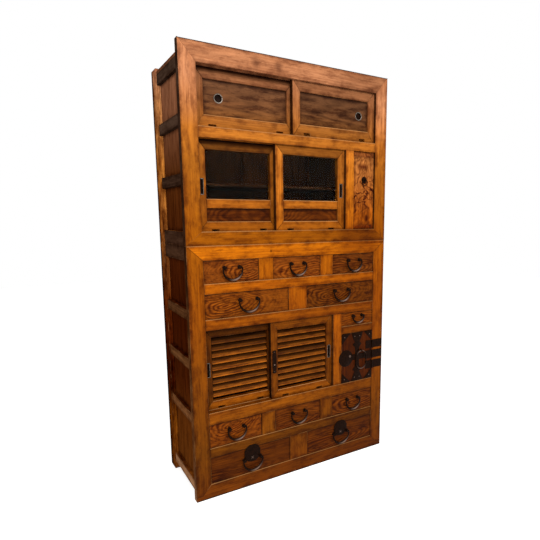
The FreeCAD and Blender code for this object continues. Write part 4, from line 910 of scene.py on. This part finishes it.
# Half width and drop of each row's bails, in mm.
bail_sizes = {"a": (39.0, 49.0), "b": (44.0, 49.0), "c": (39.0, 49.0), "d": (44.0, 49.0), "s": (33.6, 31.0)}
front_y, plate_y, axis_y = -0.17925, -0.18355, -0.19125
for drawer in fronts:
    name = f"drawer_{drawer}"
    bail_low, bail_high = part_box(f"{name}_bail")
    boss_low, boss_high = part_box(f"{name}_bosses")
    middle_x = (bail_low.x + bail_high.x) / 2
    axis_z = bail_high.z - 0.0035
    eye = (boss_high.x - boss_low.x) * 500 - 8
    half, drop = bail_sizes[drawer[0]]
    lift = (half ** 2 - drop ** 2) / (2 * drop)
    radius = drop + lift
    end = math.asin(-lift / radius)
    arm = [(eye - 2, 0, 1.8), (half - 3.2, 1.0, 2.0), (half - 1.0, 0.9, 2.3)]
    line = [(-x, z, thick) for x, z, thick in arm]
    for step in range(25):
        angle = math.pi - end + (math.pi + 2 * end) * step / 24
        thick = 2.6 + 2.75 * math.sin(math.pi * step / 24) ** 1.3
        line.append((radius * math.cos(angle), radius * math.sin(angle) + lift, thick))
    line += arm[::-1]
    places = [(middle_x + x / 1000, axis_y, axis_z + z / 1000) for x, z, _ in line]
    handle = bar(f"{name}_handle", places, [thick / 1000 for _, _, thick in line])
    # A painted highlight lightens the front of each bail's lower right arc.
    rubbed_and_highlight_where(handle, lambda place: 0.8 * ((axis_y - place.y) / 0.005) ** 4 * (1 - abs(60 + math.degrees(
        math.atan2(place.z - axis_z - lift / 1000, place.x - middle_x))) / 55))
    fitted(handle, f"{name}_bail")
    knob = turned(f"{name}_knobs", boss_profile, (middle_x - eye / 1000, front_y, axis_z), steps=24)
    other = placed(f"{name}_knob", knob.data.copy())
    other.data.transform(Matrix.Translation((2 * eye / 1000, 0, 0)))
    parts = [knob, other]
    if drawer[0] == "d":
        plate_z, rosette_z = axis_z + 0.024, axis_z + 0.004
        outline = []
        for angle in [math.tau * step / 96 for step in range(96)]:
            reach = 38.6 - 2.6 * math.exp(-((math.cos(angle) ** 2 - 1) / 0.05) ** 2)
            if math.sin(angle) > 0.2:
                reach -= 1.6 * abs(math.sin(3 * (angle - math.pi / 2) + math.pi / 2)) ** 6
            outline.append((middle_x + reach * math.cos(angle) / 1000,
                            plate_z + reach * math.sin(angle) / 1000))
        parts.append(plate(f"{name}_plate", outline, plate_y, 0.002, 0.0007))
        parts.append(turned(f"{name}_pad", [(0, 0), (19.8, 0), (19.8, 2.4), (0, 2.4)],
                            (middle_x, front_y, plate_z)))
        parts.append(stud(f"{name}_rosette", middle_x, plate_y, rosette_z, 3.4))
        parts += [stud(f"{name}_petal_{across}{up}", middle_x + across * 0.0042, plate_y,
                       rosette_z + up * 0.0042, 2.6, 0.12) for across in (-1, 1) for up in (-1, 1)]
    fitted(joined(f"{name}_knobs", parts), f"{name}_bosses")
